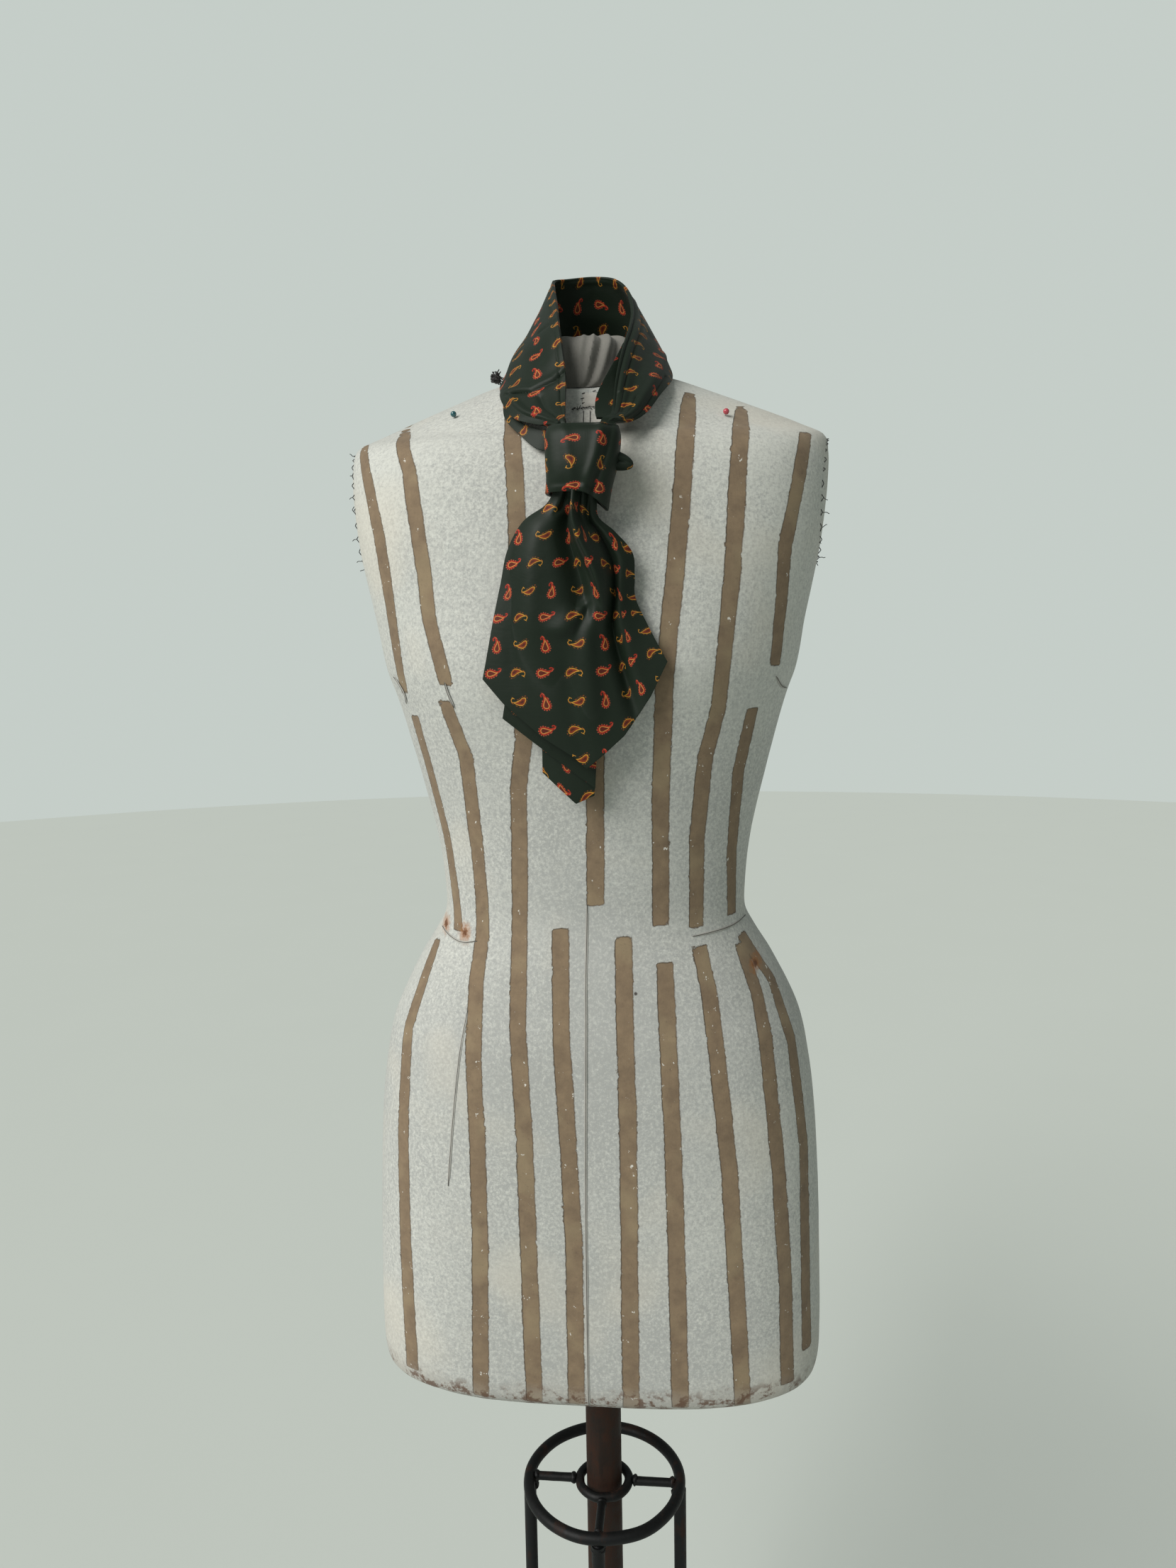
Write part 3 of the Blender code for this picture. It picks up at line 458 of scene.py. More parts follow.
# ---- shapes ------------------------------------------------------------------------------------
class Shape:
    """Points and faces that grow into one mesh, with a flat layout for the cloth's print."""

    def __init__(self):
        self.points = []
        self.faces = []
        self.corners = []

    def grid(self, rows, flat=None, closed=False, caps=False):
        """Faces between rows of points; closed rows are rings, and caps fill the end rings.

        flat gives each point's place on the flat cloth; closed rings take one more column of it.
        """
        rows = np.asarray(rows, float)
        tall, wide = rows.shape[:2]
        start = len(self.points)
        self.points.extend(map(tuple, rows.reshape(-1, 3)))
        for low in range(tall - 1):
            for side in range(wide if closed else wide - 1):
                ahead = (side + 1) % wide
                self.faces.append((start + low * wide + side, start + low * wide + ahead,
                                   start + (low + 1) * wide + ahead,
                                   start + (low + 1) * wide + side))
                if flat is not None:
                    self.corners.append((flat[low][side], flat[low][side + 1],
                                         flat[low + 1][side + 1], flat[low + 1][side]))
                else:
                    self.corners.append(None)
        if caps:
            last = start + (tall - 1) * wide
            self.faces.append(tuple(start + side for side in reversed(range(wide))))
            self.faces.append(tuple(last + side for side in range(wide)))
            self.corners.extend([None, None])
        return self

    def tube(self, path, radius, sides=6, flatten=1.0):
        """A rod along a path; radius is a number, or one for each point of the path."""
        path = np.asarray(path, float)
        radii = np.broadcast_to(radius, len(path))
        ways = np.gradient(path, axis=0)
        ways /= np.linalg.norm(ways, axis=1)[:, None]
        aside = Vector(ways[0]).orthogonal().normalized()
        turns = np.arange(sides) * math.tau / sides
        rings = []
        for point, way, reach in zip(path, ways, radii):
            way = Vector(way)
            aside = (aside - way * aside.dot(way)).normalized()
            other = way.cross(aside)
            rings.append([Vector(point) + (aside * math.cos(turn)
                                           + other * math.sin(turn) * flatten) * reach
                          for turn in turns])
        return self.grid(rings, closed=True, caps=True)

    def loop(self, path, radius, sides=12):
        """A rod bent into a closed ring; path doesn't repeat its first point."""
        path = np.asarray(path, float)
        ways = np.roll(path, -1, axis=0) - np.roll(path, 1, axis=0)
        centre = path.mean(axis=0)
        start = len(self.points)
        for point, way in zip(path, ways):
            out = Vector(point - centre).normalized()
            up = Vector(way).cross(out).normalized()
            for side in range(sides):
                turn = math.tau * side / sides
                self.points.append(tuple(Vector(point) + (out * math.cos(turn)
                                                          + up * math.sin(turn)) * radius))
        count = len(path)
        for low in range(count):
            after = (low + 1) % count
            for side in range(sides):
                ahead = (side + 1) % sides
                self.faces.append((start + low * sides + side, start + after * sides + side,
                                   start + after * sides + ahead, start + low * sides + ahead))
                self.corners.append(None)
        return self

    def ball(self, centre, size, rows=10, sides=16, lumps=0.0, seed=0.0):
        """A closed rounded lump; lumps is how uneven it is, as a share of its size."""
        size = np.broadcast_to(size, 3)
        rings = []
        for row in range(rows + 1):
            lean = math.pi * (row + 0.15) / (rows + 0.3)
            ring = []
            for side in range(sides):
                turn = math.tau * side / sides
                way = Vector((math.sin(lean) * math.cos(turn), math.sin(lean) * math.sin(turn),
                              -math.cos(lean)))
                swell = 1 + lumps * noise.noise(way * 1.7 + Vector((seed, seed, seed)))
                ring.append([centre[axis] + way[axis] * size[axis] * swell for axis in range(3)])
            rings.append(ring)
        return self.grid(rings, closed=True, caps=True)

    def turned(self, profile, sides=48):
        """A turned shape round the Z axis, from its profile of radius and height."""
        rings = [[(reach * math.cos(math.tau * side / sides),
                   reach * math.sin(math.tau * side / sides), height)
                  for side in range(sides)] for reach, height in profile]
        return self.grid(rings, closed=True, caps=True)

    def mesh(self, name, sharp=50):
        """The mesh, with its flat layout if it has one."""
        made = bpy.data.meshes.new(name)
        made.from_pydata(self.points, [], self.faces)
        if any(corner is not None for corner in self.corners):
            layer = made.uv_layers.new(name="flat")
            places = []
            for face, corner in zip(self.faces, self.corners):
                places.extend(corner if corner is not None else [(0.0, 0.0)] * len(face))
            layer.data.foreach_set("uv", np.asarray(places, np.float32).ravel())
        made.shade_smooth()
        made.set_sharp_from_angle(angle=math.radians(sharp))
        return made


def put(name, mesh, finish, nodes=()):
    """An object for a mesh, finished, riding on the body, in place of the solids it stands for."""
    piece = bpy.data.objects.new(name, mesh)
    mesh.materials.append(finish)
    bpy.context.scene.collection.objects.link(piece)
    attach(piece, "root")
    if nodes:
        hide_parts(*nodes)
    return piece


def thicken(piece, thick, rounding=0.45):
    """Gives open cloth its thickness, half each way, with rounded edges."""
    wall = piece.modifiers.new("Cloth thickness", "SOLIDIFY")
    wall.thickness = thick
    wall.offset = 0.0
    wall.use_even_offset = True
    edge = piece.modifiers.new("Rounded edge", "BEVEL")
    edge.width = thick * rounding
    edge.segments = 3
    edge.limit_method = "ANGLE"
    edge.angle_limit = math.radians(60)
    edge.loop_slide = True


# ---- shader maths ------------------------------------------------------------------------------
class Wire:
    """A node's output that joins in sums as a number does."""

    def __init__(self, paint, socket):
        self.paint = paint
        self.socket = socket

    def sum(self, operation, *values, clamp=False):
        """A Math node of this and other values."""
        settings = {"operation": operation, "use_clamp": clamp}
        return self.paint.node("ShaderNodeMath", settings, dict(enumerate(values)))

    def __add__(self, other):
        return self.sum("ADD", self, other)

    def __sub__(self, other):
        return self.sum("SUBTRACT", self, other)

    def __rsub__(self, other):
        return self.sum("SUBTRACT", other, self)

    def __mul__(self, other):
        return self.sum("MULTIPLY", self, other)

    def __truediv__(self, other):
        return self.sum("DIVIDE", self, other)

    def __mod__(self, other):
        return self.sum("FLOORED_MODULO", self, other)

    def __pow__(self, other):
        return self.sum("POWER", self, other)

    def __abs__(self):
        return self.sum("ABSOLUTE", self)

    def __neg__(self):
        return self.sum("MULTIPLY", self, -1.0)

    __radd__ = __add__
    __rmul__ = __mul__

    def floor(self):
        return self.sum("FLOOR", self)

    def root(self):
        return self.sum("SQRT", self)

    def sine(self):
        return self.sum("SINE", self)

    def least(self, other):
        return self.sum("MINIMUM", self, other)

    def most(self, other):
        return self.sum("MAXIMUM", self, other)

    def clamped(self):
        return self.sum("ADD", self, 0.0, clamp=True)

    def below(self, edge, soft):
        """1 below an edge and 0 above it, with a soft change."""
        return self.sum("MULTIPLY_ADD", self - edge, -1.0 / soft, 0.5, clamp=True)

    def above(self, edge, soft):
        """1 above an edge and 0 below it, with a soft change."""
        return self.sum("MULTIPLY_ADD", self - edge, 1.0 / soft, 0.5, clamp=True)

    def within(self, edge, half, soft):
        """1 within half of an edge, on either side."""
        return abs(self - edge).below(half, soft)


class Paint:
    """A material's nodes; fixed values go straight on its shader's sockets."""

    def __init__(self, name, **fixed):
        self.material = bpy.data.materials.new(name)
        self.material.use_nodes = True
        self.tree = self.material.node_tree
        self.shader = self.tree.nodes["Principled BSDF"]
        for key, value in fixed.items():
            self.shader.inputs[key.replace("_", " ").title().replace("Ior", "IOR")].default_value = value

    def node(self, kind, settings=None, sockets=None, output=0):
        """Any node: its settings are set first, then its sockets' values and links."""
        made = self.tree.nodes.new(kind)
        for key, value in (settings or {}).items():
            if key == "stops":
                self.set_stops(made.color_ramp, value)
            else:
                setattr(made, key, value)
        for key, value in (sockets or {}).items():
            self.join(value, made.inputs[key])
        return Wire(self, made.outputs[output])

    def set_stops(self, ramp, stops):
        """A ramp's stops, each a place and a colour."""
        while len(ramp.elements) < len(stops):
            ramp.elements.new(0.5)
        for element, (place, shade) in zip(ramp.elements, stops):
            element.position = place
            element.color = (*shade, 1.0)

    def join(self, value, socket):
        if isinstance(value, Wire):
            self.tree.links.new(value.socket, socket)
        else:
            socket.default_value = value

    def feed(self, name, value):
        """Leads a wire to one of the shader's sockets."""
        self.join(value, self.shader.inputs[name])

    def mix(self, share, first, second):
        """A colour between two colours."""
        def as_colour(value):
            return value if isinstance(value, Wire) else (*value, 1.0)
        return self.node("ShaderNodeMix", {"data_type": "RGBA", "clamp_factor": True},
                         {0: share, 6: as_colour(first), 7: as_colour(second)}, output=2)

    def vector(self, operation, first, second):
        """A Vector Math node of two vectors."""
        return self.node("ShaderNodeVectorMath", {"operation": operation}, {0: first, 1: second})

    def flat(self):
        """The place on the flat cloth, in metres, as a vector."""
        return self.node("ShaderNodeUVMap", {"uv_map": "flat"})

    def place(self):
        """The place in the object's frame, in metres, as a vector."""
        return self.node("ShaderNodeTexCoord", output=3)

    def axes(self, vector):
        """A vector's three numbers."""
        made = self.node("ShaderNodeSeparateXYZ", None, {0: vector})
        return [Wire(self, socket) for socket in made.socket.node.outputs]

    def attribute(self, name):
        """A number stored on the mesh's points."""
        return self.node("ShaderNodeAttribute", {"attribute_name": name}, output=2)

    def cloud(self, place, size, detail=3.0, rough=0.55, stretch=None):
        """Soft noise of about this size in metres, from 0 to 1."""
        if stretch:
            place = self.vector("MULTIPLY", place, stretch)
        return self.node("ShaderNodeTexNoise", None, {
            "Vector": place, "Scale": 1.0 / size, "Detail": detail, "Roughness": rough})

    def cells(self, place, size):
        """Distance to scattered points about this far apart, from 0."""
        return self.node("ShaderNodeTexVoronoi", None, {"Vector": place, "Scale": 1.0 / size})

    def bump(self, height, depth, strength=1.0, below=None):
        """A relief of this depth in metres, over another relief if there is one."""
        sockets = {"Height": height, "Distance": depth, "Strength": strength}
        if below is not None:
            sockets["Normal"] = below
        return self.node("ShaderNodeBump", None, sockets)


# ---- silk --------------------------------------------------------------------------------------
def drop_distance(across, along, fat, long):
    """Millimetres from a drop's outline, less than 0 inside: a round end that narrows to a point.

    The round end's centre is at 0, and the point lies at long along.
    """
    slant = fat / long
    lean = math.sqrt(1 - slant * slant)
    aside = abs(across)
    round_end = (aside * aside + along * along).root() - fat
    flank = (aside * lean + along * slant - fat).most(along - long)
    on_flank = (along * lean - aside * slant).above(0.0, 0.02)
    return round_end + (flank - round_end) * on_flank


def ring_dots(across, along, distance, count, out, size):
    """Dots round a drop, that many to a turn, at a distance out from its line."""
    paint = across.paint
    turn = paint.node("ShaderNodeMath", {"operation": "ARCTAN2"}, {0: across, 1: along})
    share = (turn * (count / math.tau)) % 1.0
    return distance.within(out, size, 0.25) * share.within(0.5, 0.24, 0.18)


def gold_paisley(paint, along, across, silk):
    """Colour and cover of a gold-lined drop that leans up to a hooked tip, in millimetres."""
    arch = across - 0.9 + 0.052 * (along - 1.0) * (along - 1.0)
    distance = drop_distance(arch, along + 3.3, 2.75, 7.9)
    line = distance.within(-0.30, 0.34, 0.22)
    fill = distance.below(-0.45, 0.2)
    core = distance.below(-1.7, 0.3)
    hook_x = along - 4.1
    hook_y = across + 1.0
    hook_ring = (hook_x * hook_x + hook_y * hook_y).root()
    hook = hook_ring.within(1.55, 0.30, 0.22) * (hook_x + 0.35 * hook_y).above(-0.35, 0.2)
    fork = (abs(across + 2.5 + 0.5 * (along - 4.0)).below(0.28, 0.2)
            * abs(along - 4.2).below(1.1, 0.2))
    dots = ring_dots(across + 0.8, along + 3.0, distance, 13.0, 0.85, 0.24)
    inside = paint.mix(core, tuple(silk.rust), (0.075, 0.012, 0.006))
    shade = paint.mix(line.most(hook).most(fork), inside, tuple(silk.gold))
    shade = paint.mix(dots, shade, (0.340, 0.095, 0.015))
    return shade, fill.most(line).most(hook).most(fork).most(dots * 0.75)


def red_paisley(paint, along, across, silk):
    """Colour and cover of a red drop with a curled tail and dots on its rim, in millimetres."""
    tail = (along - 0.6).most(0.0)
    arch = across + 0.7 - 0.115 * tail * tail
    distance = drop_distance(arch, along + 2.9, 3.05, 9.2)
    body = distance.below(0.0, 0.25)
    line = distance.within(-1.15, 0.24, 0.2)
    core = distance.below(-1.45, 0.25)
    curl_x = along - 4.4
    curl_y = across - 1.9
    curl_ring = (curl_x * curl_x + curl_y * curl_y).root()
    curl = curl_ring.within(1.25, 0.42, 0.25) * (curl_x + curl_y).above(-0.6, 0.3)
    dots = ring_dots(across + 0.9, along + 2.6, distance, 13.0, 0.42, 0.34)
    inside = paint.mix(core, tuple(silk.red), (0.110, 0.014, 0.008))
    shade = paint.mix(line, inside, (0.600, 0.300, 0.075))
    shade = paint.mix(dots, shade, tuple(silk.rim))
    return shade, body.most(curl).most(dots * 0.85)


def silk_material():
    """Dark green satin, printed with gold and red paisleys in alternate columns."""
    silk = setting("silk")
    paint = Paint("green_silk", specular_ior_level=0.22, sheen_weight=0.04, sheen_roughness=0.35,
                  anisotropic=0.35)
    flat = paint.flat()
    ripple = paint.cloud(flat, 0.0011, 2.0)
    drift = (ripple - 0.5) * 0.55
    across, down, _ = paint.axes(flat)
    column = (across / silk.pitch).floor()
    row = (down / silk.pitch).floor()
    in_mm = silk.pitch / MM
    x = ((across / silk.pitch) % 1.0 - 0.5) * in_mm + drift
    y = ((down / silk.pitch) % 1.0 - 0.5) * in_mm - drift
    gold_column = column % 2.0
    turned = 1.0 - row % 2.0
    flip = 1.0 - 2.0 * turned
    gold, gold_cover = gold_paisley(paint, x * flip, y * flip, silk)
    level = 1.0 - turned
    red, red_cover = red_paisley(paint, x * level + y * turned, y * level - x * turned, silk)
    motif = paint.mix(gold_column, red, gold)
    cover = gold_cover * gold_column + red_cover * (1.0 - gold_column)
    broad = paint.cloud(flat, 0.030, 3.0)
    threads = (down * (math.tau / silk.weave)).sine()
    fine = paint.cloud(flat, 0.0009, 2.0, stretch=(0.25, 1.0, 1.0))
    ground = paint.mix(broad * 0.6 + fine * 0.4 + threads * 0.06 - 0.12,
                       tuple(silk.ground), tuple(silk.shade))
    motif = paint.mix(fine * 0.35, motif, (0.05, 0.02, 0.012))
    paint.feed("Base Color", paint.mix(cover * (0.93 + 0.07 * threads), ground, motif))
    paint.feed("Roughness", 0.46 + 0.10 * broad + 0.08 * cover)
    weave = paint.bump(threads * 0.3 + fine, 0.00006, 0.40)
    soft = paint.bump(paint.cloud(flat, 0.016, 2.0), 0.0009, 0.30, below=weave)
    paint.feed("Normal", soft)
    return paint.material


# ---- other materials ---------------------------------------------------------------------------
def linen_material():
    """Pasted linen with bare brown stripes sunk in it, grime, rust stains, a worn hem, painted shade
    that greys the form lower down, and a dark line along the stripes' edges that is partly painted
    shade.
    """
    form = setting("form")
    paint = Paint("striped_linen", specular_ior_level=0.25, sheen_weight=0.08)
    place = paint.place()
    warp = paint.cloud(place, 0.0010, 2.0, stretch=(1.0, 0.5, 0.16))
    weft = paint.cloud(place, 0.0010, 2.0, stretch=(0.16, 0.3, 1.0))
    weave = warp * 0.45 + weft * 0.55
    speckle = paint.cloud(place, 0.0024, 4.0, 0.80)
    patches = paint.cloud(place, 0.060, 4.0, 0.6)
    clouds = paint.cloud(place, 0.190, 3.0, 0.5)
    nicks = paint.cloud(place, 0.0045, 4.0, 0.65)
    wander = paint.cloud(place, 0.030, 2.0)
    torn = paint.cloud(place, 0.016, 5.0, 0.75).above(0.60, 0.12)
    edge = (paint.attribute("stripe") + (nicks - 0.5) * (0.0020 + 0.0060 * torn)
            + (wander - 0.5) * 0.0014)
    inside = edge.above(0.0, 0.00035)
    # rim: a dark line along both edges of each stripe, partly the stripes' dark outline and partly
    # painted shade of the sunken step.
    rim = edge.within(0.0, 0.00045, 0.0005)

    grime = (speckle - 0.44) * 4.6 * (0.25 + 1.05 * patches) + (clouds - 0.41) * 1.3
    sideways, _, rise = paint.axes(place)
    # Painted shade: the linen greys below about 1.06 m high, standing in for the lower form getting less
    # light; the darker band down the centre front is grime.
    worn = rise.below(1.06, 0.30) * 0.30 + abs(sideways - 0.02).below(0.07, 0.12) * 0.16
    white = paint.mix((grime + worn).clamped() * 0.75, tuple(form.linen), tuple(form.grime))
    white = paint.mix((0.62 - weave).clamped() * 1.1, white, (0.40, 0.395, 0.37))
    warm = paint.cloud(place, 0.110, 2.0)
    white = paint.mix(warm.above(0.60, 0.16) * 0.40, white, (0.60, 0.555, 0.470))

    mottle = paint.cloud(place, 0.013, 5.0, 0.7)
    stripe = paint.mix((mottle - 0.28) * 1.7, (0.165, 0.118, 0.078), tuple(form.stripe))
    stripe = paint.mix(paint.cloud(place, 0.040, 2.0).above(0.60, 0.14) * 0.45, stripe,
                       (0.310, 0.245, 0.150))
    stripe = paint.mix((speckle - 0.60).clamped() * 3.5, stripe, (0.060, 0.048, 0.038))
    cloth = paint.mix(inside, white, stripe)
    cloth = paint.mix(rim * (0.35 + 0.65 * nicks), cloth, tuple(form.stripe_edge_line_and_shade))
    scraps = paint.cloud(place, 0.0060, 3.0, 0.75).above(0.690, 0.03) * inside
    cloth = paint.mix(scraps, cloth, (0.62, 0.60, 0.55))

    dots = paint.cells(place, 0.060).below(0.020, 0.012)
    cloth = paint.mix(dots * 0.9, cloth, (0.035, 0.026, 0.024))
    ragged = paint.cloud(place, 0.004, 4.0, 0.7)
    for x, height, reach in RUST_SPOTS:
        far = paint.node("ShaderNodeVectorMath", {"operation": "DISTANCE"}, {
            0: paint.vector("MULTIPLY", place, (1.0, 0.0, 0.72)), 1: (x, 0.0, height * 0.72)}, 1)
        stain = (far + (ragged - 0.5) * 0.010).below(reach * 0.62, reach * 0.9)
        front = paint.axes(place)[1].below(0.0, 0.01)
        cloth = paint.mix(stain * 0.85 * front, cloth, tuple(form.rust))
        cloth = paint.mix((far + (ragged - 0.5) * 0.006).below(reach * 0.30, reach * 0.3)
                          * 0.8 * front, cloth, (0.085, 0.030, 0.012))
    height = paint.axes(place)[2]
    low = (height + (patches - 0.5) * 0.03).below(0.652, 0.012)
    hem_rust = low * paint.cloud(place, 0.011, 4.0, 0.7).above(0.545, 0.09)
    cloth = paint.mix(low * 0.35, cloth, (0.36, 0.33, 0.29))
    cloth = paint.mix(hem_rust * 0.85, cloth, (0.105, 0.050, 0.026))
    paint.feed("Base Color", cloth)
    paint.feed("Roughness", 0.82 + 0.12 * weave)
    relief = (1.0 - inside) * 0.75 + weave * 0.30 + speckle * 0.10
    fine = paint.bump(relief, 0.00042, 0.9)
    paint.feed("Normal", paint.bump(patches, 0.0016, 0.35, below=fine))
    return paint.material


def plain_linen(name, shade, dark):
    """Grey linen, creased and dusty, for the gathered cap and the sewn edges."""
    paint = Paint(name, specular_ior_level=0.2, sheen_weight=0.06)
    place = paint.place()
    threads = paint.cloud(place, 0.0011, 2.0, stretch=(1.0, 1.0, 0.2))
    other = paint.cloud(place, 0.0011, 2.0, stretch=(0.2, 0.2, 1.0))
    dust = paint.cloud(place, 0.020, 4.0, 0.65)
    cloth = paint.mix(dust * 1.1 - 0.1, dark, shade)
    cloth = paint.mix((0.60 - threads).clamped() * 0.9, cloth, dark)
    paint.feed("Base Color", cloth)
    paint.feed("Roughness", 0.84 + 0.10 * dust)
    paint.feed("Normal", paint.bump(threads * 0.5 + other * 0.5, 0.00035, 0.8))
    return paint.material


def iron_material(name, shade, rust, share, depth):
    """Old forged iron: pitted, blackened, with rust in places."""
    paint = Paint(name, metallic=0.15, specular_ior_level=0.3)
    place = paint.place()
    pits = paint.cloud(place, 0.0026, 4.0, 0.7)
    patches = paint.cloud(place, 0.020, 4.0, 0.6)
    streaks = paint.cloud(place, 0.006, 3.0, 0.6, stretch=(1.0, 1.0, 0.15))
    rusty = (patches * 0.65 + streaks * 0.35).above(share, 0.16)
    cloth = paint.mix(pits, tuple(value * 0.55 for value in shade), tuple(shade))
    paint.feed("Base Color", paint.mix(rusty * (0.4 + 0.6 * pits), cloth, tuple(rust)))
    paint.feed("Roughness", 0.44 + 0.22 * pits + 0.22 * rusty)
    fine = paint.bump(pits, depth, 0.8)
    paint.feed("Normal", paint.bump(patches, depth * 3.0, 0.5, below=fine))
    return paint.material


def thread_material():
    """Black cotton thread."""
    paint = Paint("black_thread", roughness=0.85, sheen_weight=0.3)
    fuzz = paint.cloud(paint.place(), 0.0008, 2.0)
    paint.feed("Base Color", paint.mix(fuzz, (0.006, 0.006, 0.007), (0.030, 0.027, 0.027)))
    paint.feed("Normal", paint.bump(fuzz, 0.0002, 0.8))
    return paint.material


def bead_material(name, shade):
    """A glass pin head, a little cloudy."""
    paint = Paint(name, roughness=0.12, coat_weight=0.6, coat_roughness=0.05)
    swirl = paint.cloud(paint.place(), 0.0016, 3.0)
    paint.feed("Base Color", paint.mix(swirl, tuple(value * 0.5 for value in shade), shade))
    return paint.material


def steel_material():
    """Bright pin steel."""
    paint = Paint("pin_steel", metallic=1.0)
    scratch = paint.cloud(paint.place(), 0.0006, 2.0)
    paint.feed("Base Color", paint.mix(scratch, (0.40, 0.40, 0.41), (0.62, 0.62, 0.63)))
    paint.feed("Roughness", 0.22 + 0.2 * scratch)
    return paint.material


def floor_material(shade):
    """A pale matt floor."""
    paint = Paint("pale_floor", roughness=0.9, specular_ior_level=0.1)
    grain = paint.cloud(paint.place(), 0.35, 4.0)
    paint.feed("Base Color", paint.mix(grain * 0.35, shade, tuple(value * 0.94 for value in shade)))
    return paint.material


MATERIALS = {}


def finish_of(name, make, *values):
    """A material by name, made the first time it is asked for."""
    if name not in MATERIALS:
        MATERIALS[name] = make(*values)
    return MATERIALS[name]


# ---- dress form --------------------------------------------------------------------------------
RING_SAMPLES = 720
FORM_COLUMNS = 288
FORM_ROW_STEP = 0.0036      # at most this much height between rows


def section_at(height):
    return smooth(FORM_SECTIONS, [row.height for row in FORM_SECTIONS], height)


def bust_at(x, height):
    """How far the bust stands forward of the plain section."""
    apart = (np.abs(x) - BUST_APART) / BUST_WIDE
    return BUST_OUT * bell(apart) * bell((height - BUST_HEIGHT) / BUST_HIGH)


def section_ring(section, swell=1.0, count=RING_SAMPLES):
    """Points round a section, from the middle of the front towards +X and back to the start."""
    turn = math.tau * np.arange(count + 1) / count - math.pi / 2
    cosine, sine = np.cos(turn), np.sin(turn)
    power = 2 / section.square
    x = section.half_width * swell * np.sign(cosine) * np.abs(cosine) ** power
    deep = np.where(sine > 0, section.back, section.front)
    y = deep * swell * np.sign(sine) * np.abs(sine) ** power
    y -= np.where(sine < 0, bust_at(x, section.height) * -sine, 0.0)
    return np.stack([x, y, section.height + section.tilt * y], axis=1)


def chest_y(x, height):
    """How far forward the form's front stands at a place; -Y is forward."""
    level, y = height, 0.0
    settle, share = 30, 0.3
    for _ in range(settle):
        section = section_at(level)
        inside = max(0.0, 1 - abs(x / section.half_width) ** section.square)
        y = -section.front * inside ** (1 / section.square) - float(bust_at(x, level))
        level += share * (height - section.tilt * y - level)
    return y


def form_normal(x, height):
    """The way that the form's front faces at a place."""
    step = MM
    aside = (chest_y(x + step, height) - chest_y(x - step, height)) / (2 * step)
    upward = (chest_y(x, height + step) - chest_y(x, height - step)) / (2 * step)
    return Vector((aside, -1.0, upward)).normalized()


def form_heights():
    """The heights of the torso's rows, closer where the sections change fast."""
    heights = [FORM_SECTIONS[0].height]
    for low, high in zip(FORM_SECTIONS, FORM_SECTIONS[1:]):
        steps = max(4, math.ceil((high.height - low.height) / FORM_ROW_STEP))
        heights.extend(low.height + (high.height - low.height) * step / steps
                       for step in range(1, steps + 1))
    return heights


def stripe_depths(ring, arcs, places, points, half_width, width):
    """How far inside a stripe each point of a row lies, in metres; less than 0 is outside."""
    quarter = RING_SAMPLES // 4
    girth = arcs[-1]
    right, back, left = ring[:quarter + 1], ring[quarter:3 * quarter + 1], ring[3 * quarter:]
    front_x = np.concatenate([left[:-1, 0], right[:, 0]])
    front_arc = np.concatenate([arcs[3 * quarter:-1] - girth, arcs[:quarter + 1]])
    signed = np.where(places > girth / 2, places - girth, places)
    height = points[:, 2]
    deepest = np.full(len(points), -1.0)
    for line in FRONT_STRIPES:
        tall = np.array([place[1] for place in line], float)[::-1] * MM
        aside = np.array([place[0] for place in line], float)[::-1] * MM
        middle = np.interp(np.interp(height, tall, aside), front_x, front_arc)
        within = width / 2 - np.abs(signed - middle)
        ends = np.minimum(height - tall[0], tall[-1] - height)
        deepest = np.maximum(deepest, np.minimum(within, ends))
    for share, top, foot in BACK_STRIPES:
        middle = np.interp(-share * half_width, -back[:, 0], arcs[quarter:3 * quarter + 1])
        within = width / 2 - np.abs(places - middle)
        ends = np.minimum(height - foot, top - height)
        deepest = np.maximum(deepest, np.minimum(within, ends))
    left_side = arcs[3 * quarter] - girth
    for behind, top, foot in FLANK_STRIPES:
        within = width / 2 - np.minimum(np.abs(places - arcs[quarter] - behind),
                                        np.abs(places - arcs[3 * quarter] + behind))
        ends = np.minimum(height - foot, top - height)
        deepest = np.maximum(deepest, np.minimum(within, ends))
    for middle_height, rise in SIDE_STRIPES:
        along = signed - (left_side - 0.012)
        within = 0.0042 - np.abs(height - middle_height - along * rise / 0.011) * 0.62
        ends = 0.026 - np.abs(along + 0.017)
        deepest = np.maximum(deepest, np.minimum(within, ends))
    return deepest


def form_unevenness(point, depth):
    """How far the old padding has sunk at a place."""
    slow = noise.noise(Vector(point) * 16.0)
    quick = noise.noise(Vector(point) * 55.0)
    return -depth * (0.5 + 0.5 * slow + 0.22 * quick)


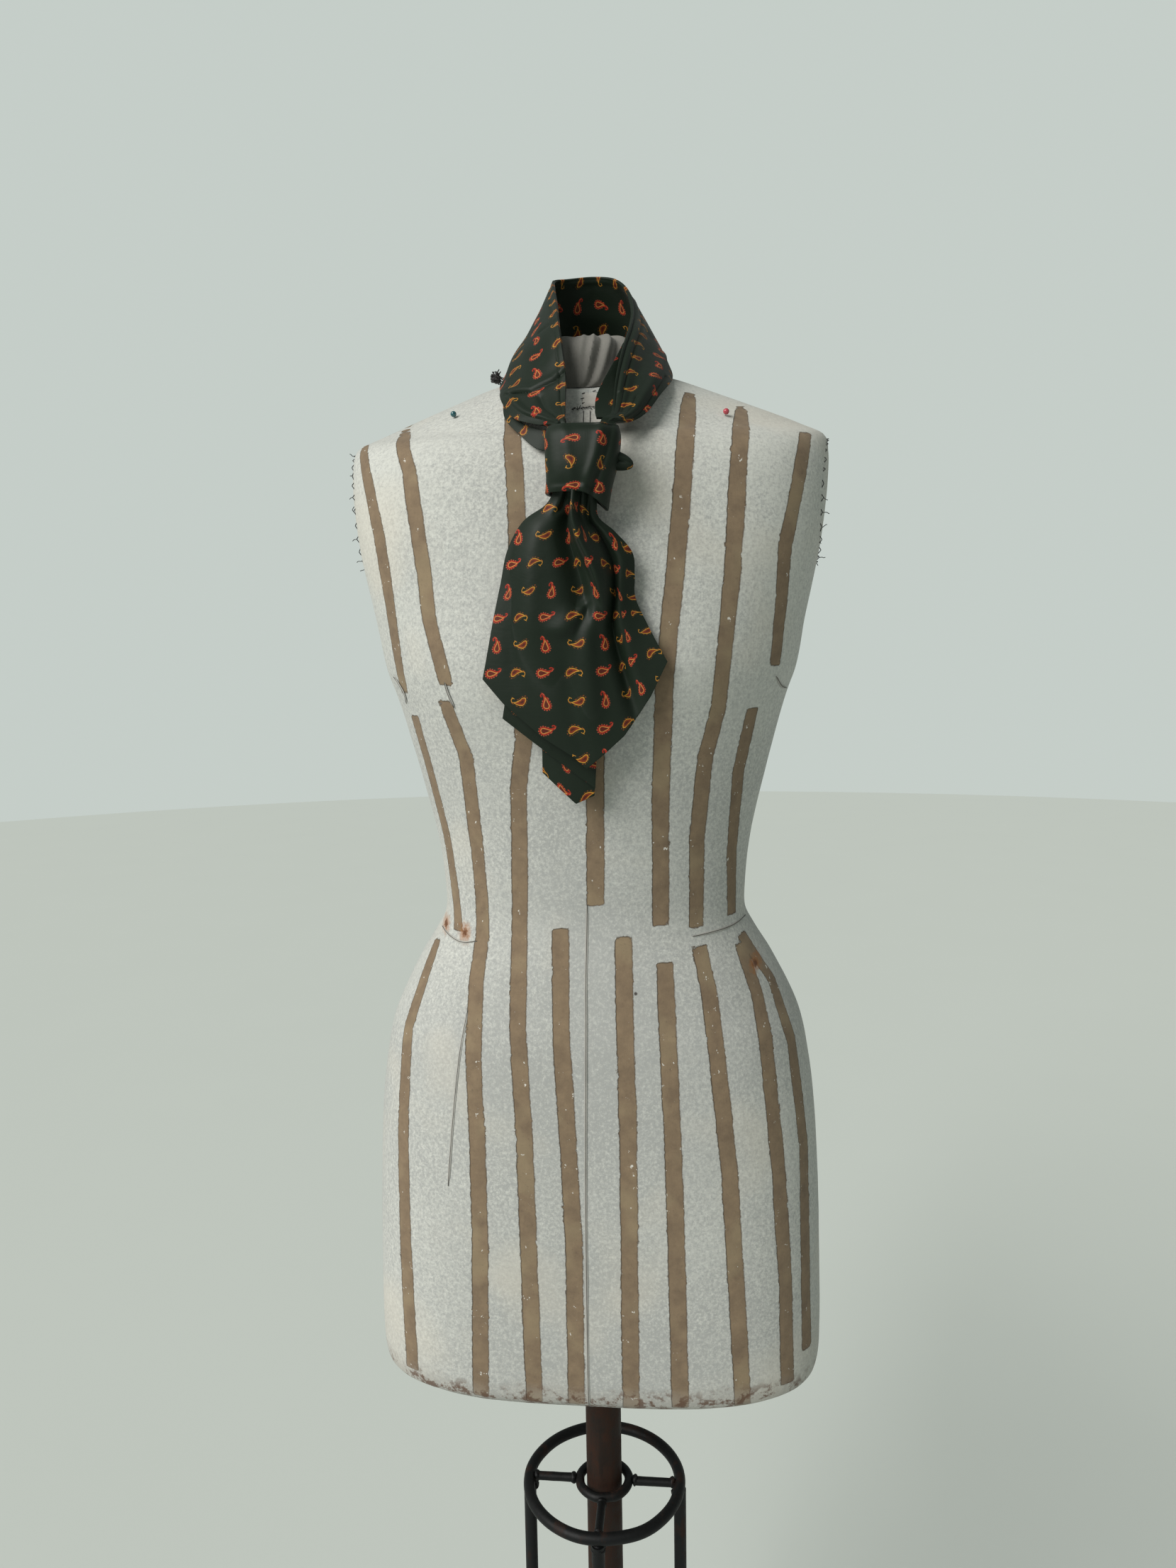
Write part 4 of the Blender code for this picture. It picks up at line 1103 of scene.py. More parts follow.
class CravatAddTorso(bpy.types.Operator):
    """Adds the dress form's striped linen body"""
    bl_idname = "cravat.add_torso"
    bl_label = "Linen form"

    def execute(self, context):
        form = setting("form")
        rows, flats, depths = [], [], []
        climb = 0.0
        last_front = None
        for height in form_heights():
            section = section_at(height)
            ring = section_ring(section)
            arcs = arc_lengths(ring)
            places = np.linspace(0.0, arcs[-1], FORM_COLUMNS + 1)
            points = np.stack([np.interp(places, arcs, ring[:, axis]) for axis in range(3)], axis=1)
            front = points[0]
            climb += float(np.linalg.norm(front - last_front)) if last_front is not None else 0.0
            last_front = front
            depths.append(stripe_depths(ring, arcs, places[:-1], points[:-1], section.half_width,
                                        form.stripe_width))
            flats.append([(place - arcs[-1] / 2, climb) for place in places])
            rows.append(points[:-1])
        rows = np.array(rows)
        down = np.gradient(rows, axis=0)
        round_it = np.roll(rows, -1, axis=1) - np.roll(rows, 1, axis=1)
        outward = np.cross(round_it, down)
        outward /= np.maximum(np.linalg.norm(outward, axis=2, keepdims=True), 1e-12)
        sunk = np.array([[form_unevenness(point, form.unevenness) for point in row]
                         for row in rows])
        shape = Shape().grid(rows + outward * sunk[:, :, None], flats, closed=True, caps=True)
        mesh = shape.mesh("linen_form")
        stored = mesh.attributes.new("stripe", "FLOAT", "POINT")
        stored.data.foreach_set("value", np.array(depths, np.float32).ravel())
        piece = put("linen_form", mesh, finish_of("linen", linen_material),
                    ["form_torso"])
        return {"FINISHED"}


def front_line(places, count, out):
    """A line on the form's front through a few places, and the way the form faces there."""
    rough = curve_through([(x * MM, height * MM, 0.0) for x, height in places], count)
    points, normals = [], []
    for x, height, _ in rough:
        normal = form_normal(x, height)
        normals.append(normal)
        points.append(Vector((x, chest_y(x, height), height)) + normal * out)
    return points, normals


class CravatAddSeams(bpy.types.Operator):
    """Adds the form's sewn lines: centre seam, waist seams, darts and tucks"""
    bl_idname = "cravat.add_seams"
    bl_label = "Seams"

    half_width = 0.0011
    rise = 0.00045

    def execute(self, context):
        shape = Shape()
        threads = Shape()
        for places in FRONT_SEAMS.values():
            count = max(8, int(abs(places[0][1] - places[-1][1]) / 4) + 8)
            points, normals = front_line(places, count, 0.0)
            rows = []
            for index, (point, normal) in enumerate(zip(points, normals)):
                way = (points[min(index + 1, count - 1)] - points[max(index - 1, 0)]).normalized()
                side = way.cross(normal).normalized()
                end = min(1.0, 0.25 + min(index, count - 1 - index) * 0.35)
                rows.append([point + side * self.half_width * end * reach
                             + normal * (self.rise * end * lift - 0.0002)
                             for reach, lift in ((-1.0, 0.0), (-0.8, 0.8), (-0.2, 1.0), (0.0, 0.35),
                                                 (0.2, 0.8), (0.9, 0.5), (1.0, 0.0),
                                                 (0.0, -0.8))])
            shape.grid(rows, closed=True, caps=True)
            threads.tube([point + normal * self.rise * 0.55 for point, normal
                          in zip(points, normals)], 0.00022, sides=5)
        piece = put("linen_seams", shape.mesh("linen_seams"),
                    finish_of("seam", plain_linen, "seam_linen", (0.50, 0.49, 0.45),
                              (0.30, 0.29, 0.27)))
        line = put("seam_thread", threads.mesh("seam_thread"),
                   finish_of("grey_thread", plain_linen, "grey_thread", (0.10, 0.09, 0.08),
                             (0.05, 0.045, 0.04)))
        line.parent = piece
        return {"FINISHED"}


class CravatAddCap(bpy.types.Operator):
    """Adds the gathered linen cap over the neck, with its stitches and its mended patch"""
    bl_idname = "cravat.add_cap"
    bl_label = "Neck cap"

    folds = [                   # turn from the front, drift per rise, width, height
        (0.02, 0.10, 0.055, 0.0016), (0.19, 0.35, 0.050, 0.0024), (0.33, 0.55, 0.048, -0.0022),
        (0.46, 0.62, 0.060, 0.0026), (0.66, 0.60, 0.060, -0.0018), (0.84, 0.50, 0.070, 0.0020),
        (-0.22, -0.05, 0.080, -0.0012), (-0.45, -0.20, 0.070, 0.0014),
        (-0.75, -0.10, 0.080, -0.0014),
    ]

    def fold_lift(self, turn, rise):
        """The folds' height at a turn from the front and a share of the way up."""
        lift = 0.0
        for centre, drift, wide, high in self.folds:
            lift += high * float(bell((turn - centre - drift * (rise - 0.5)) / wide))
        beyond = soft_step(abs(turn), 0.9, 1.3)
        lift += float(beyond) * 0.0012 * math.sin(turn * 17 + 1.3 * math.sin(turn * 5) + rise * 2)
        return lift * math.sin(math.pi * min(1.0, 0.12 + rise * 0.8)) ** 0.7

    def execute(self, context):
        seam = FORM_SECTIONS[-1]
        rings, sides = 54, 220
        rows = []
        for ring_index in range(rings + 1):
            share = ring_index / rings
            rise, size, tilt = along_rows(CAP_RISES, share * (len(CAP_RISES) - 1))
            section = seam._replace(height=seam.height + rise, tilt=tilt)
            ring = section_ring(section, size, count=sides)[:-1]
            for side in range(sides):
                turn = (side / sides * math.tau + math.pi) % math.tau - math.pi
                lift = self.fold_lift(turn, share) * min(1.0, (1 - share) * 4.0) - 0.0006
                out = Vector((ring[side][0], ring[side][1], 0.0)).normalized()
                up = share * 0.6
                ring[side] += np.array((out.x, out.y, up)) * lift
            rows.append(ring)
        mesh = Shape().grid(rows, closed=True, caps=True).mesh("neck_cap")
        finish = finish_of("cap", plain_linen, "cap_linen", tuple(setting("form").cap),
                           tuple(value * 0.62 for value in setting("form").cap))
        piece = put("neck_cap", mesh, finish, ["form_neck_cap"])
        self.add_patch(piece)
        return {"FINISHED"}

    def add_patch(self, cap):
        """The pale scrap on the neck's front, its ragged dark stitches and two short seams."""
        luck = random.Random(5)
        rows = []
        for step in range(13):
            share = step / 12
            x = 0.0030 + 0.0125 * share
            top = 1388.2 - 1.6 * luck.random()
            low = 1377.2 - 1.4 * luck.random()
            points, normals = front_line([(x / MM, top), (x / MM, low)], 9, 0.0)
            lift = [0.0, 0.0006, 0.0009, 0.0007, 0.0008, 0.0006, 0.0009, 0.0006, 0.0]
            edge = 0.35 if step in (0, 12) else 1.0
            rows.append([point + normal * high * edge
                         for point, normal, high in zip(points, normals, lift)])
        scrap = put("neck_scrap", Shape().grid(rows).mesh("neck_scrap"),
                    finish_of("scrap", plain_linen, "scrap_linen", (0.62, 0.60, 0.55),
                              (0.42, 0.40, 0.36)))
        thicken(scrap, 0.0005)
        scrap.parent = cap
        stitches = Shape()
        for step in range(13):
            x = -4.2 + step * 1.6
            height = 1375.2 + luck.uniform(-0.5, 0.5)
            points, normals = front_line([(x, height), (x + luck.uniform(0.8, 1.5),
                                          height + luck.uniform(-0.8, 0.8))], 5, 0.0006)
            stitches.tube(points, 0.00038, sides=5)
            if luck.random() < 0.5:
                loose_thread(stitches, points[2], normals[2] + Vector((luck.uniform(-1, 1), 0,
                             luck.uniform(-1, 1))), luck.uniform(0.0015, 0.003), luck)
        for x, top, low in ((4.1, 1373.4, 1362.0), (8.8, 1373.0, 1361.0)):
            points, normals = front_line([(x, top), (x + 0.3, low)], 12, 0.0002)
            stitches.tube(points, 0.00026, sides=5)
        for x, height, long in ((3.4, 1386.0, 2.0), (2.9, 1382.0, 2.4), (3.8, 1378.5, 1.8),
                                (11.0, 1387.6, 2.2)):
            points, normals = front_line([(x - long / 2, height), (x + long / 2, height + 0.7)], 5,
                                         0.0010)
            stitches.tube(points, 0.00034, sides=5)
        piece = put("neck_stitches", stitches.mesh("neck_stitches"),
                    finish_of("thread", thread_material))
        piece.parent = cap


class CravatAddPins(bpy.types.Operator):
    """Adds the two glass-headed pins in the shoulders"""
    bl_idname = "cravat.add_pins"
    bl_label = "Pins"

    def execute(self, context):
        shades = {"pin_teal": (0.02, 0.13, 0.15), "pin_red": (0.60, 0.07, 0.10)}
        for name, (node, slot, x, height) in PINS.items():
            normal = form_normal(x, height)
            seat = Vector((x, chest_y(x, height), height))
            centre = seat + normal * (PIN_HEAD + PIN_CLEAR)
            head = put(name, Shape().ball(centre, PIN_HEAD, rows=16, sides=24).mesh(name),
                       finish_of(slot, bead_material, slot, shades[slot]), [node])
            shank = Shape().tube([centre - normal * PIN_HEAD * share
                                  for share in (0.85, 1.1, 1.4, 2.4)],
                                 [0.0005, 0.00036, 0.00033, 0.0003], sides=8)
            steel = put(f"{name}_shank", shank.mesh(f"{name}_shank"),
                        finish_of("steel", steel_material))
            steel.parent = head
        return {"FINISHED"}


def loose_thread(shape, start, way, reach, luck, curl=0.5, radius=0.00028):
    """A short frayed end that leaves a place and curls."""
    point = Vector(start)
    way = Vector(way).normalized()
    path = [point.copy()]
    steps = 7
    for _ in range(steps):
        way = (way + Vector([luck.uniform(-curl, curl) for _ in range(3)])).normalized()
        point = point + way * reach / steps
        path.append(point.copy())
    shape.tube(resample([tuple(place) for place in path], 9), radius, sides=5)


class CravatAddThreads(bpy.types.Operator):
    """Adds the black stitches and frayed threads round the armholes, and the tuft by the neck"""
    bl_idname = "cravat.add_threads"
    bl_label = "Loose threads"

    armhole_height = 1.316
    armhole_high = 0.046
    armhole_deep = 0.036

    def armhole_point(self, side, turn):
        """A place on the side of the form, on the oval of its armhole."""
        height = self.armhole_height + self.armhole_high * math.sin(turn)
        y = -0.004 + self.armhole_deep * math.cos(turn)
        section = section_at(height)
        deep = section.back if y > 0 else section.front
        inside = max(0.0, 1 - abs(y / deep) ** section.square)
        x = side * section.half_width * inside ** (1 / section.square)
        return Vector((x, y, height + section.tilt * y))

    def execute(self, context):
        for side, name, seed in ((-1, "armhole_threads_left", 11), (1, "armhole_threads_right", 12)):
            shape = Shape()
            luck = random.Random(seed)
            count = 28
            for number in range(count):
                turn = math.tau * number / count
                here = self.armhole_point(side, turn)
                there = self.armhole_point(side, turn + math.tau / count * luck.uniform(0.3, 0.75))
                out = Vector((side, 0.0, 0.15))
                middle = (here + there) / 2 + out * luck.uniform(0.0006, 0.0014)
                shape.tube(resample([here - out * 0.0004, middle, there - out * 0.0004], 7),
                           0.00034, sides=5)
                if luck.random() < 0.35:
                    loose_thread(shape, middle, out + Vector((0, luck.uniform(-1, 1),
                                 luck.uniform(-0.8, 0.3))), luck.uniform(0.002, 0.0055), luck)
            put(name, shape.mesh(name), finish_of("thread", thread_material))
        shape = Shape()
        luck = random.Random(21)
        x, height = -0.0700, 1.4090
        centre = Vector((x, 0.004, height + 0.009))
        shape.tube(resample([centre + Vector((0.004, 0.0, -0.009)), centre + Vector((0.002, 0, -0.003)),
                             centre], 8), 0.0007, sides=6)
        shape.ball(centre - Vector((0.0018, 0.0, 0.0008)), (0.0032, 0.0030, 0.0030), lumps=0.7,
                   seed=4.0)
        for _ in range(70):
            way = Vector((luck.uniform(-1.0, 0.6), luck.uniform(-0.8, 0.8), luck.uniform(-1, 0.8)))
            loose_thread(shape, centre + way * 0.0014, way, luck.uniform(0.0025, 0.0060), luck, 0.7,
                         0.00045)
        put("neck_tuft", shape.mesh("neck_tuft"), finish_of("thread", thread_material))
        return {"FINISHED"}


# ---- stand -------------------------------------------------------------------------------------
def iron():
    stand = setting("stand")
    return finish_of("iron", iron_material, "black_iron", tuple(stand.iron), tuple(stand.rust),
                     0.60, 0.00022)


def circle(radius, height, count=96, wobble=0.0):
    """Points round a forged ring, a little out of true."""
    points = []
    for number in range(count):
        turn = math.tau * number / count
        reach = radius + wobble * noise.noise(Vector((math.cos(turn), math.sin(turn), radius)) * 2)
        points.append((reach * math.cos(turn), reach * math.sin(turn), height))
    return points


def leg_route(count):
    """A leg from under the top ring, straight down, then out in a curve to its foot."""
    top = TOP_RING_HEIGHT - TOP_RING_ROD - 0.0003
    bend = LOW_RING_HEIGHT - 0.02
    foot = FOOT_THICK + FOOT_NECK
    route = [(TOP_RING_RADIUS, top + (bend - top) * step / 12) for step in range(13)]
    reach = FOOT_REACH - TOP_RING_RADIUS
    for step in range(1, count + 1):
        share = step / count
        route.append((TOP_RING_RADIUS + reach * (1 - math.cos(math.pi * share)) / 2,
                      bend - (bend - foot) * share))
    route.append((FOOT_REACH, FOOT_THICK + 0.0003))
    return route


class CravatAddStand(bpy.types.Operator):
    """Adds the iron stand: pole, socket, rings, spokes, legs and feet"""
    bl_idname = "cravat.add_stand"
    bl_label = "Iron stand"

    def add_pole(self):
        stand = setting("stand")
        top = FORM_SECTIONS[0].height - 0.0003
        rows = 70
        profile = []
        for row in range(rows + 1):
            height = SOCKET_FLOOR + 0.0003 + (top - SOCKET_FLOOR - 0.0003) * row / rows
            profile.append((POLE_RADIUS, height))
        shape = Shape().turned(profile, sides=56)
        shape.points = [tuple(np.array(point) * (1 - 0.012 * max(0.0, noise.noise(
            Vector(point) * 90)), 1 - 0.012 * max(0.0, noise.noise(Vector(point) * 90)), 1))
            for point in shape.points]
        finish = finish_of("pole", iron_material, "rusty_iron", tuple(stand.pole),
                           tuple(stand.rust), 0.47, 0.00020)
        put("iron_pole", shape.mesh("iron_pole"), finish, ["stand_pole"])

    def add_socket(self):
        inner = POLE_RADIUS + WELD_GAP
        plate = SOCKET_FLOOR - SOCKET_PLATE
        rim = SOCKET_FLOOR + SOCKET_DEEP
        edge = 0.0012
        profile = [(0.0005, SOCKET_FLOOR), (inner, SOCKET_FLOOR), (inner, rim - edge),
                   (inner + edge * 0.3, rim - edge * 0.3), (inner + edge, rim),
                   (SOCKET_RADIUS - edge, rim), (SOCKET_RADIUS - edge * 0.3, rim - edge * 0.3),
                   (SOCKET_RADIUS, rim - edge), (SOCKET_RADIUS, plate + edge),
                   (SOCKET_RADIUS - edge * 0.3, plate + edge * 0.3),
                   (SOCKET_RADIUS - edge, plate), (0.0005, plate)]
        put("iron_socket", Shape().turned(profile).mesh("iron_socket", 35), iron(),
            ["stand_socket"])

    def add_spokes(self, prefix, node, inner, outer, height, seed):
        for number in range(LEG_COUNT):
            turn = math.tau * number / LEG_COUNT
            way = Vector((math.cos(turn), math.sin(turn), 0.0))
            rise = Vector((0.0, 0.0, height))
            path = [way * (inner + (outer - inner) * share) + rise
                    for share in np.linspace(0.0, 1.0, 14)]
            radii = [SPOKE_ROD * (1 + 0.05 * noise.noise(Vector(point) * 120 + way * seed))
                     for point in path]
            shape = Shape().tube(path, radii, sides=setting("stand").sides)
            for place, reach in ((inner + 0.0016, 1.55), (outer - 0.0016, 1.5)):
                size = SPOKE_ROD * reach * (0.85 + 0.1 * math.sin(seed * 3 + number * 2.1))
                lump = way * place + rise + Vector((0, 0, 0.0008 * math.sin(seed + number)))
                shape.ball(lump, (size * (0.62 + 0.3 * abs(way.y)), size * (0.62 + 0.3 * abs(way.x)),
                                  size * 0.95), lumps=0.22, seed=seed + number)
            name = f"{prefix}_{number + 1}"
            put(name, shape.mesh(name), iron(), [f"{node}_{number + 1}"])

    def add_legs(self):
        sides = setting("stand").sides
        for number in range(LEG_COUNT):
            turn = math.tau * number / LEG_COUNT
            path = [(out * math.cos(turn), out * math.sin(turn), height)
                    for out, height in leg_route(40)]
            shape = Shape().tube(path, LEG_ROD, sides=sides)
            weld = Vector((math.cos(turn), math.sin(turn), 0.0))
            shape.ball(weld * (TOP_RING_RADIUS - 0.001) + Vector((0, 0, TOP_RING_HEIGHT - 0.0085)),
                       (0.0062, 0.0062, 0.0044), lumps=0.3, seed=3.1 * number)
            shape.ball(weld * (TOP_RING_RADIUS - LEG_ROD * 0.9)
                       + Vector((0, 0, LOW_RING_HEIGHT - 0.002)), (0.0046, 0.0046, 0.0056),
                       lumps=0.3, seed=5.3 + number)
            name = f"iron_leg_{number + 1}"
            put(name, shape.mesh(name), iron(), [f"stand_leg_{number + 1}"])
            centre = weld * FOOT_REACH
            profile = [(0.0005, 0.0), (FOOT_RADIUS - 0.0010, 0.0), (FOOT_RADIUS, 0.0010),
                       (FOOT_RADIUS, FOOT_THICK - 0.0016), (FOOT_RADIUS - 0.0008, FOOT_THICK - 0.0005),
                       (FOOT_RADIUS - 0.0020, FOOT_THICK), (LEG_ROD + 0.0022, FOOT_THICK),
                       (LEG_ROD + 0.0009, FOOT_THICK + 0.0010), (LEG_ROD + 0.0002, FOOT_THICK + 0.003),
                       (LEG_ROD * 0.5, FOOT_THICK + 0.003)]
            shape = Shape().turned(profile, sides=40)
            shape.points = [tuple(Vector(point) + centre) for point in shape.points]
            name = f"iron_foot_{number + 1}"
            put(name, shape.mesh(name, 35), iron(), [f"stand_foot_{number + 1}"])

    def execute(self, context):
        sides = setting("stand").sides
        self.add_pole()
        self.add_socket()
        for name, node, radius, rod, height in (
                ("iron_top_ring", "stand_top_ring", TOP_RING_RADIUS, TOP_RING_ROD, TOP_RING_HEIGHT),
                ("iron_hub_ring", "stand_hub_ring", HUB_RADIUS, HUB_ROD, TOP_RING_HEIGHT),
                ("iron_low_ring", "stand_low_ring", LOW_RING_RADIUS, TOP_RING_ROD, LOW_RING_HEIGHT)):
            shape = Shape().loop(circle(radius, height, wobble=0.0007), rod, sides)
            put(name, shape.mesh(name), iron(), [node])
        self.add_spokes("iron_top_spoke", "stand_top_spoke", HUB_RADIUS + HUB_ROD,
                        TOP_RING_RADIUS - TOP_RING_ROD, TOP_RING_HEIGHT, 1.0)
        self.add_spokes("iron_low_spoke", "stand_low_spoke", SOCKET_RADIUS,
                        LOW_RING_RADIUS - TOP_RING_ROD, LOW_RING_HEIGHT, 2.0)
        self.add_legs()
        return {"FINISHED"}


# ---- cravat ------------------------------------------------------------------------------------
def silk_piece(name, rows, flat, thick, node, closed=False):
    """A stretch of the cravat, with its wall, its finish and its flat layout."""
    piece = put(name, Shape().grid(rows, flat, closed=closed).mesh(name, 80),
                finish_of("silk", silk_material), [node])
    thicken(piece, thick)
    return piece


def crease_height(creases, across, down):
    """How far the creases lift the cloth at places across, at one place down."""
    total = np.zeros_like(across)
    for crease in creases:
        share = (down - crease.down) / (crease.to_down - crease.down)
        centre = crease.across + (crease.to_across - crease.across) * share
        fade = 1 / (1 + math.exp(-CREASE_FADE * share)) / (1 + math.exp(CREASE_FADE * (share - 1)))
        away = across - centre
        wide = np.where(away < 0, crease.left, crease.right)
        total += crease.high * fade * bell(away / wide)
    return total


def print_places(x, height):
    """Where points of the blade lie on the flat print, from the table of its rows."""
    table = np.array([tuple(row) for row in BLADE_PRINT])[::-1]
    heights, columns, lifts = table[:, 0] * MM, table[:, 1:9] * MM, table[:, 9] * MM
    count = columns.shape[1]
    column = np.zeros_like(x)
    level = height.copy()
    for _ in range(2):
        for index in np.ndindex(x.shape):
            line = [np.interp(level[index], heights, columns[:, number]) for number in range(count)]
            line = [line[0] - PRINT_PITCH] + line + [line[-1] + PRINT_PITCH]
            column[index] = np.interp(x[index], line, range(-1, count + 1))
        beyond = np.clip((column - 3) / 4, 0.0, 1.3) ** 2
        level = height - np.interp(height, heights, lifts) * beyond
    first = len(BLADE_PRINT) - 1
    row = np.interp(level, heights, range(-1, first))
    return (column + 0.5) * PRINT_PITCH, (row + 0.5) * PRINT_PITCH


def blade_rows(rows, hem, creases, long, wide):
    """The points of a blade, down from the knot to the hem and across from its left edge."""
    across = np.linspace(0.0, 1.0, wide + 1)
    grid = []
    for down in np.linspace(0.0, 1.0, long + 1):
        row = along_rows(rows, down * (len(rows) - 1))
        x = row.left_x + (row.right_x - row.left_x) * across
        height = row.left_z + (row.right_z - row.left_z) * across
        if hem:
            height = height - straight(hem, across) * down ** HEM_POWER
        y = row.middle_y + (row.edge_y - row.middle_y) * (2 * across - 1) ** 2
        y = y - crease_height(creases, across, down)
        grid.append(np.stack([x, y, height], axis=1))
    return np.array(grid)


def arc_layout(grid, column, row, along_sign=1.0, across_sign=1.0, swap=False):
    """A flat layout by lengths over the cloth; its first corner lies at that column and row."""
    layout = []
    spine = arc_lengths(grid[:, grid.shape[1] // 2])
    for index, line in enumerate(grid):
        across = arc_lengths(line) * across_sign
        along = np.full(len(line), spine[index]) * along_sign
        if swap:
            across, along = along, across
        layout.append(np.stack([across + (column + 0.5) * PRINT_PITCH,
                                along + (row + 0.5) * PRINT_PITCH], axis=1))
    return layout


class CravatAddBlade(bpy.types.Operator):
    """Adds the front blade, spread and creased below the knot"""
    bl_idname = "cravat.add_blade"
    bl_label = "Front blade"

    def execute(self, context):
        rows = blade_rows(BLADE_ROWS, BLADE_HEM, BLADE_CREASES, 210, 180)
        across, down = print_places(rows[:, :, 0], rows[:, :, 2])
        silk_piece("silk_front_blade", rows, np.stack([across, down], axis=2), CLOTH, "front_blade")
        return {"FINISHED"}


class CravatAddTails(bpy.types.Operator):
    """Adds the second blade, folded lengthwise, behind the front one"""
    bl_idname = "cravat.add_tails"
    bl_label = "Folded tail"

    def execute(self, context):
        for name, node, table, hem, column, row, size in (
                ("silk_tail_front", "tail_front", TAIL_FRONT_ROWS, [], 0.35, 9.6, (0.062, 0.205)),
                ("silk_tail_back", "tail_back", TAIL_BACK_ROWS, TAIL_BACK_HEM, 1.0, 9.62,
                 (0.036, 0.215))):
            rows = blade_rows(table, hem, [], 60, 40)
            flat = arc_layout(rows, column, row, along_sign=-1.0)
            silk_piece(name, rows, flat, CLOTH, node)
        return {"FINISHED"}


# Folds of the neck band: a line of places (share across from the inner edge, station), then
# how wide the fold is and how high, in millimetres.
Fold = namedtuple("Fold", "line wide high")
BAND_FOLDS = {
    "silk_band_left": [
        Fold([(0.00, 4.18), (0.17, 3.90), (0.50, 3.72), (0.86, 4.16)], 1.5, -1.5),
        Fold([(0.00, 4.30), (0.17, 4.04), (0.50, 3.90), (0.80, 4.30)], 2.6, 1.1),
        Fold([(0.00, 6.19), (0.25, 6.24)], 1.4, -0.9),
        Fold([(0.06, 0.6), (0.09, 3.0), (0.07, 6.2), (0.06, 9.0)], 1.1, -0.7),
        Fold([(0.55, 0.8), (0.62, 2.2), (0.78, 3.5), (0.90, 4.6)], 3.0, 1.6),
        Fold([(0.34, 0.8), (0.38, 2.0), (0.40, 3.4)], 3.2, -1.4),
        Fold([(0.30, 5.0), (0.46, 7.4)], 5.0, -1.3),
        Fold([(0.74, 5.2), (0.62, 8.6)], 5.0, 1.2),
    ],
    "silk_band_right": [
        Fold([(0.05, 13.2), (0.05, 17.9), (0.10, 19.6)], 1.2, -1.5),
        Fold([(0.11, 13.2), (0.11, 18.0)], 1.4, 0.9),
        Fold([(0.17, 13.4), (0.18, 17.6), (0.24, 20.0)], 1.5, -1.3),
        Fold([(0.36, 14.6), (0.34, 19.4)], 6.0, -2.0),
        Fold([(0.66, 15.0), (0.60, 20.6)], 5.0, 1.8),
        Fold([(0.82, 16.6), (0.84, 19.6)], 2.6, -1.2),
        Fold([(0.50, 18.4), (0.62, 20.8)], 2.4, -1.2),
    ],
    "silk_band_back": [
        Fold([(0.42, 9.4), (0.58, 12.6)], 7.0, -1.2),
        Fold([(0.06, 9.2), (0.06, 12.8)], 1.2, -0.5),
    ],
}
BAND_WIDTH_MM = 55
STATION_MM = 21


def fold_lift(folds, across, place):
    """How far the folds lift the band at places across, at one place along, in metres."""
    at = np.stack([across * BAND_WIDTH_MM, np.full_like(across, place * STATION_MM)], axis=1)
    total = np.zeros_like(across)
    for fold in folds:
        line = np.array(fold.line, float) * (BAND_WIDTH_MM, STATION_MM)
        nearest = np.full(len(across), np.inf)
        for start, end in zip(line, line[1:]):
            way = end - start
            share = np.clip((at - start) @ way / (way @ way), 0.0, 1.0)
            away = np.linalg.norm(at - start - share[:, None] * way, axis=1)
            nearest = np.minimum(nearest, away)
        total += fold.high * MM * bell(nearest / fold.wide)
    return total


def band_rows(stations, first, last, long, wide, folds):
    """The points of a band: along its stations, across from its top edge to its low edge."""
    across = np.linspace(0.0, 1.0, wide + 1)
    grid = []
    for place in np.linspace(first, last, long + 1):
        spot = along_rows(stations, place)
        top = np.array((spot.top_x, spot.top_y, spot.top_z))
        low = np.array((spot.low_x, spot.low_y, spot.low_z))
        line = top + (low - top) * across[:, None]
        out = line * (1.0, 1.0, 0.0) + (0.0, *BAND_LEAN)
        out /= np.linalg.norm(out, axis=1)[:, None]
        lift = spot.bow * np.sin(math.pi * across) + fold_lift(folds, across, place)
        grid.append(line + out * lift[:, None])
    return np.array(grid)


class CravatAddBand(bpy.types.Operator):
    """Adds the folded neck band in its stretches: left, back, right and the folds inside it"""
    bl_idname = "cravat.add_band"
    bl_label = "Neck band"

    def execute(self, context):
        last = len(BAND_STATIONS) - 1
        for name, node, first, end, column, row, sign, size in (
                ("silk_band_left", "band_left", 0, 9, 1.05, 0.0, -1.0, (0.058, 0.190)),
                ("silk_band_back", "band_back", 9, 13, 1.05, 9.3, -1.0, (0.064, 0.098)),
                ("silk_band_right", "band_right", 13, 22, 0.35, 9.2, 1.0, (0.052, 0.185))):
            start = first + (STRETCH_TRIM if first else 0.0)
            stop = end - (STRETCH_TRIM if end < last else 0.0)
            long = (end - first) * 20
            rows = band_rows(BAND_STATIONS, start, stop, long, 72, BAND_FOLDS[name])
            flat = arc_layout(rows, column, row, along_sign=-sign, across_sign=sign)
            silk_piece(name, rows, flat, BAND_CLOTH, node)
        for name, node, stations, column, size in (
                ("silk_band_left_under", "band_left_under", UNDER_STATIONS, 0.9, (0.012, 0.075)),
                ("silk_band_right_fold", "band_right_fold", FOLD_STATIONS, 0.2, (0.013, 0.098))):
            rows = band_rows(stations, 0, len(stations) - 1, 60, 14, [])
            flat = arc_layout(rows, column, 0.3, along_sign=-1.0)
            silk_piece(name, rows, flat, CLOTH, node)
        return {"FINISHED"}


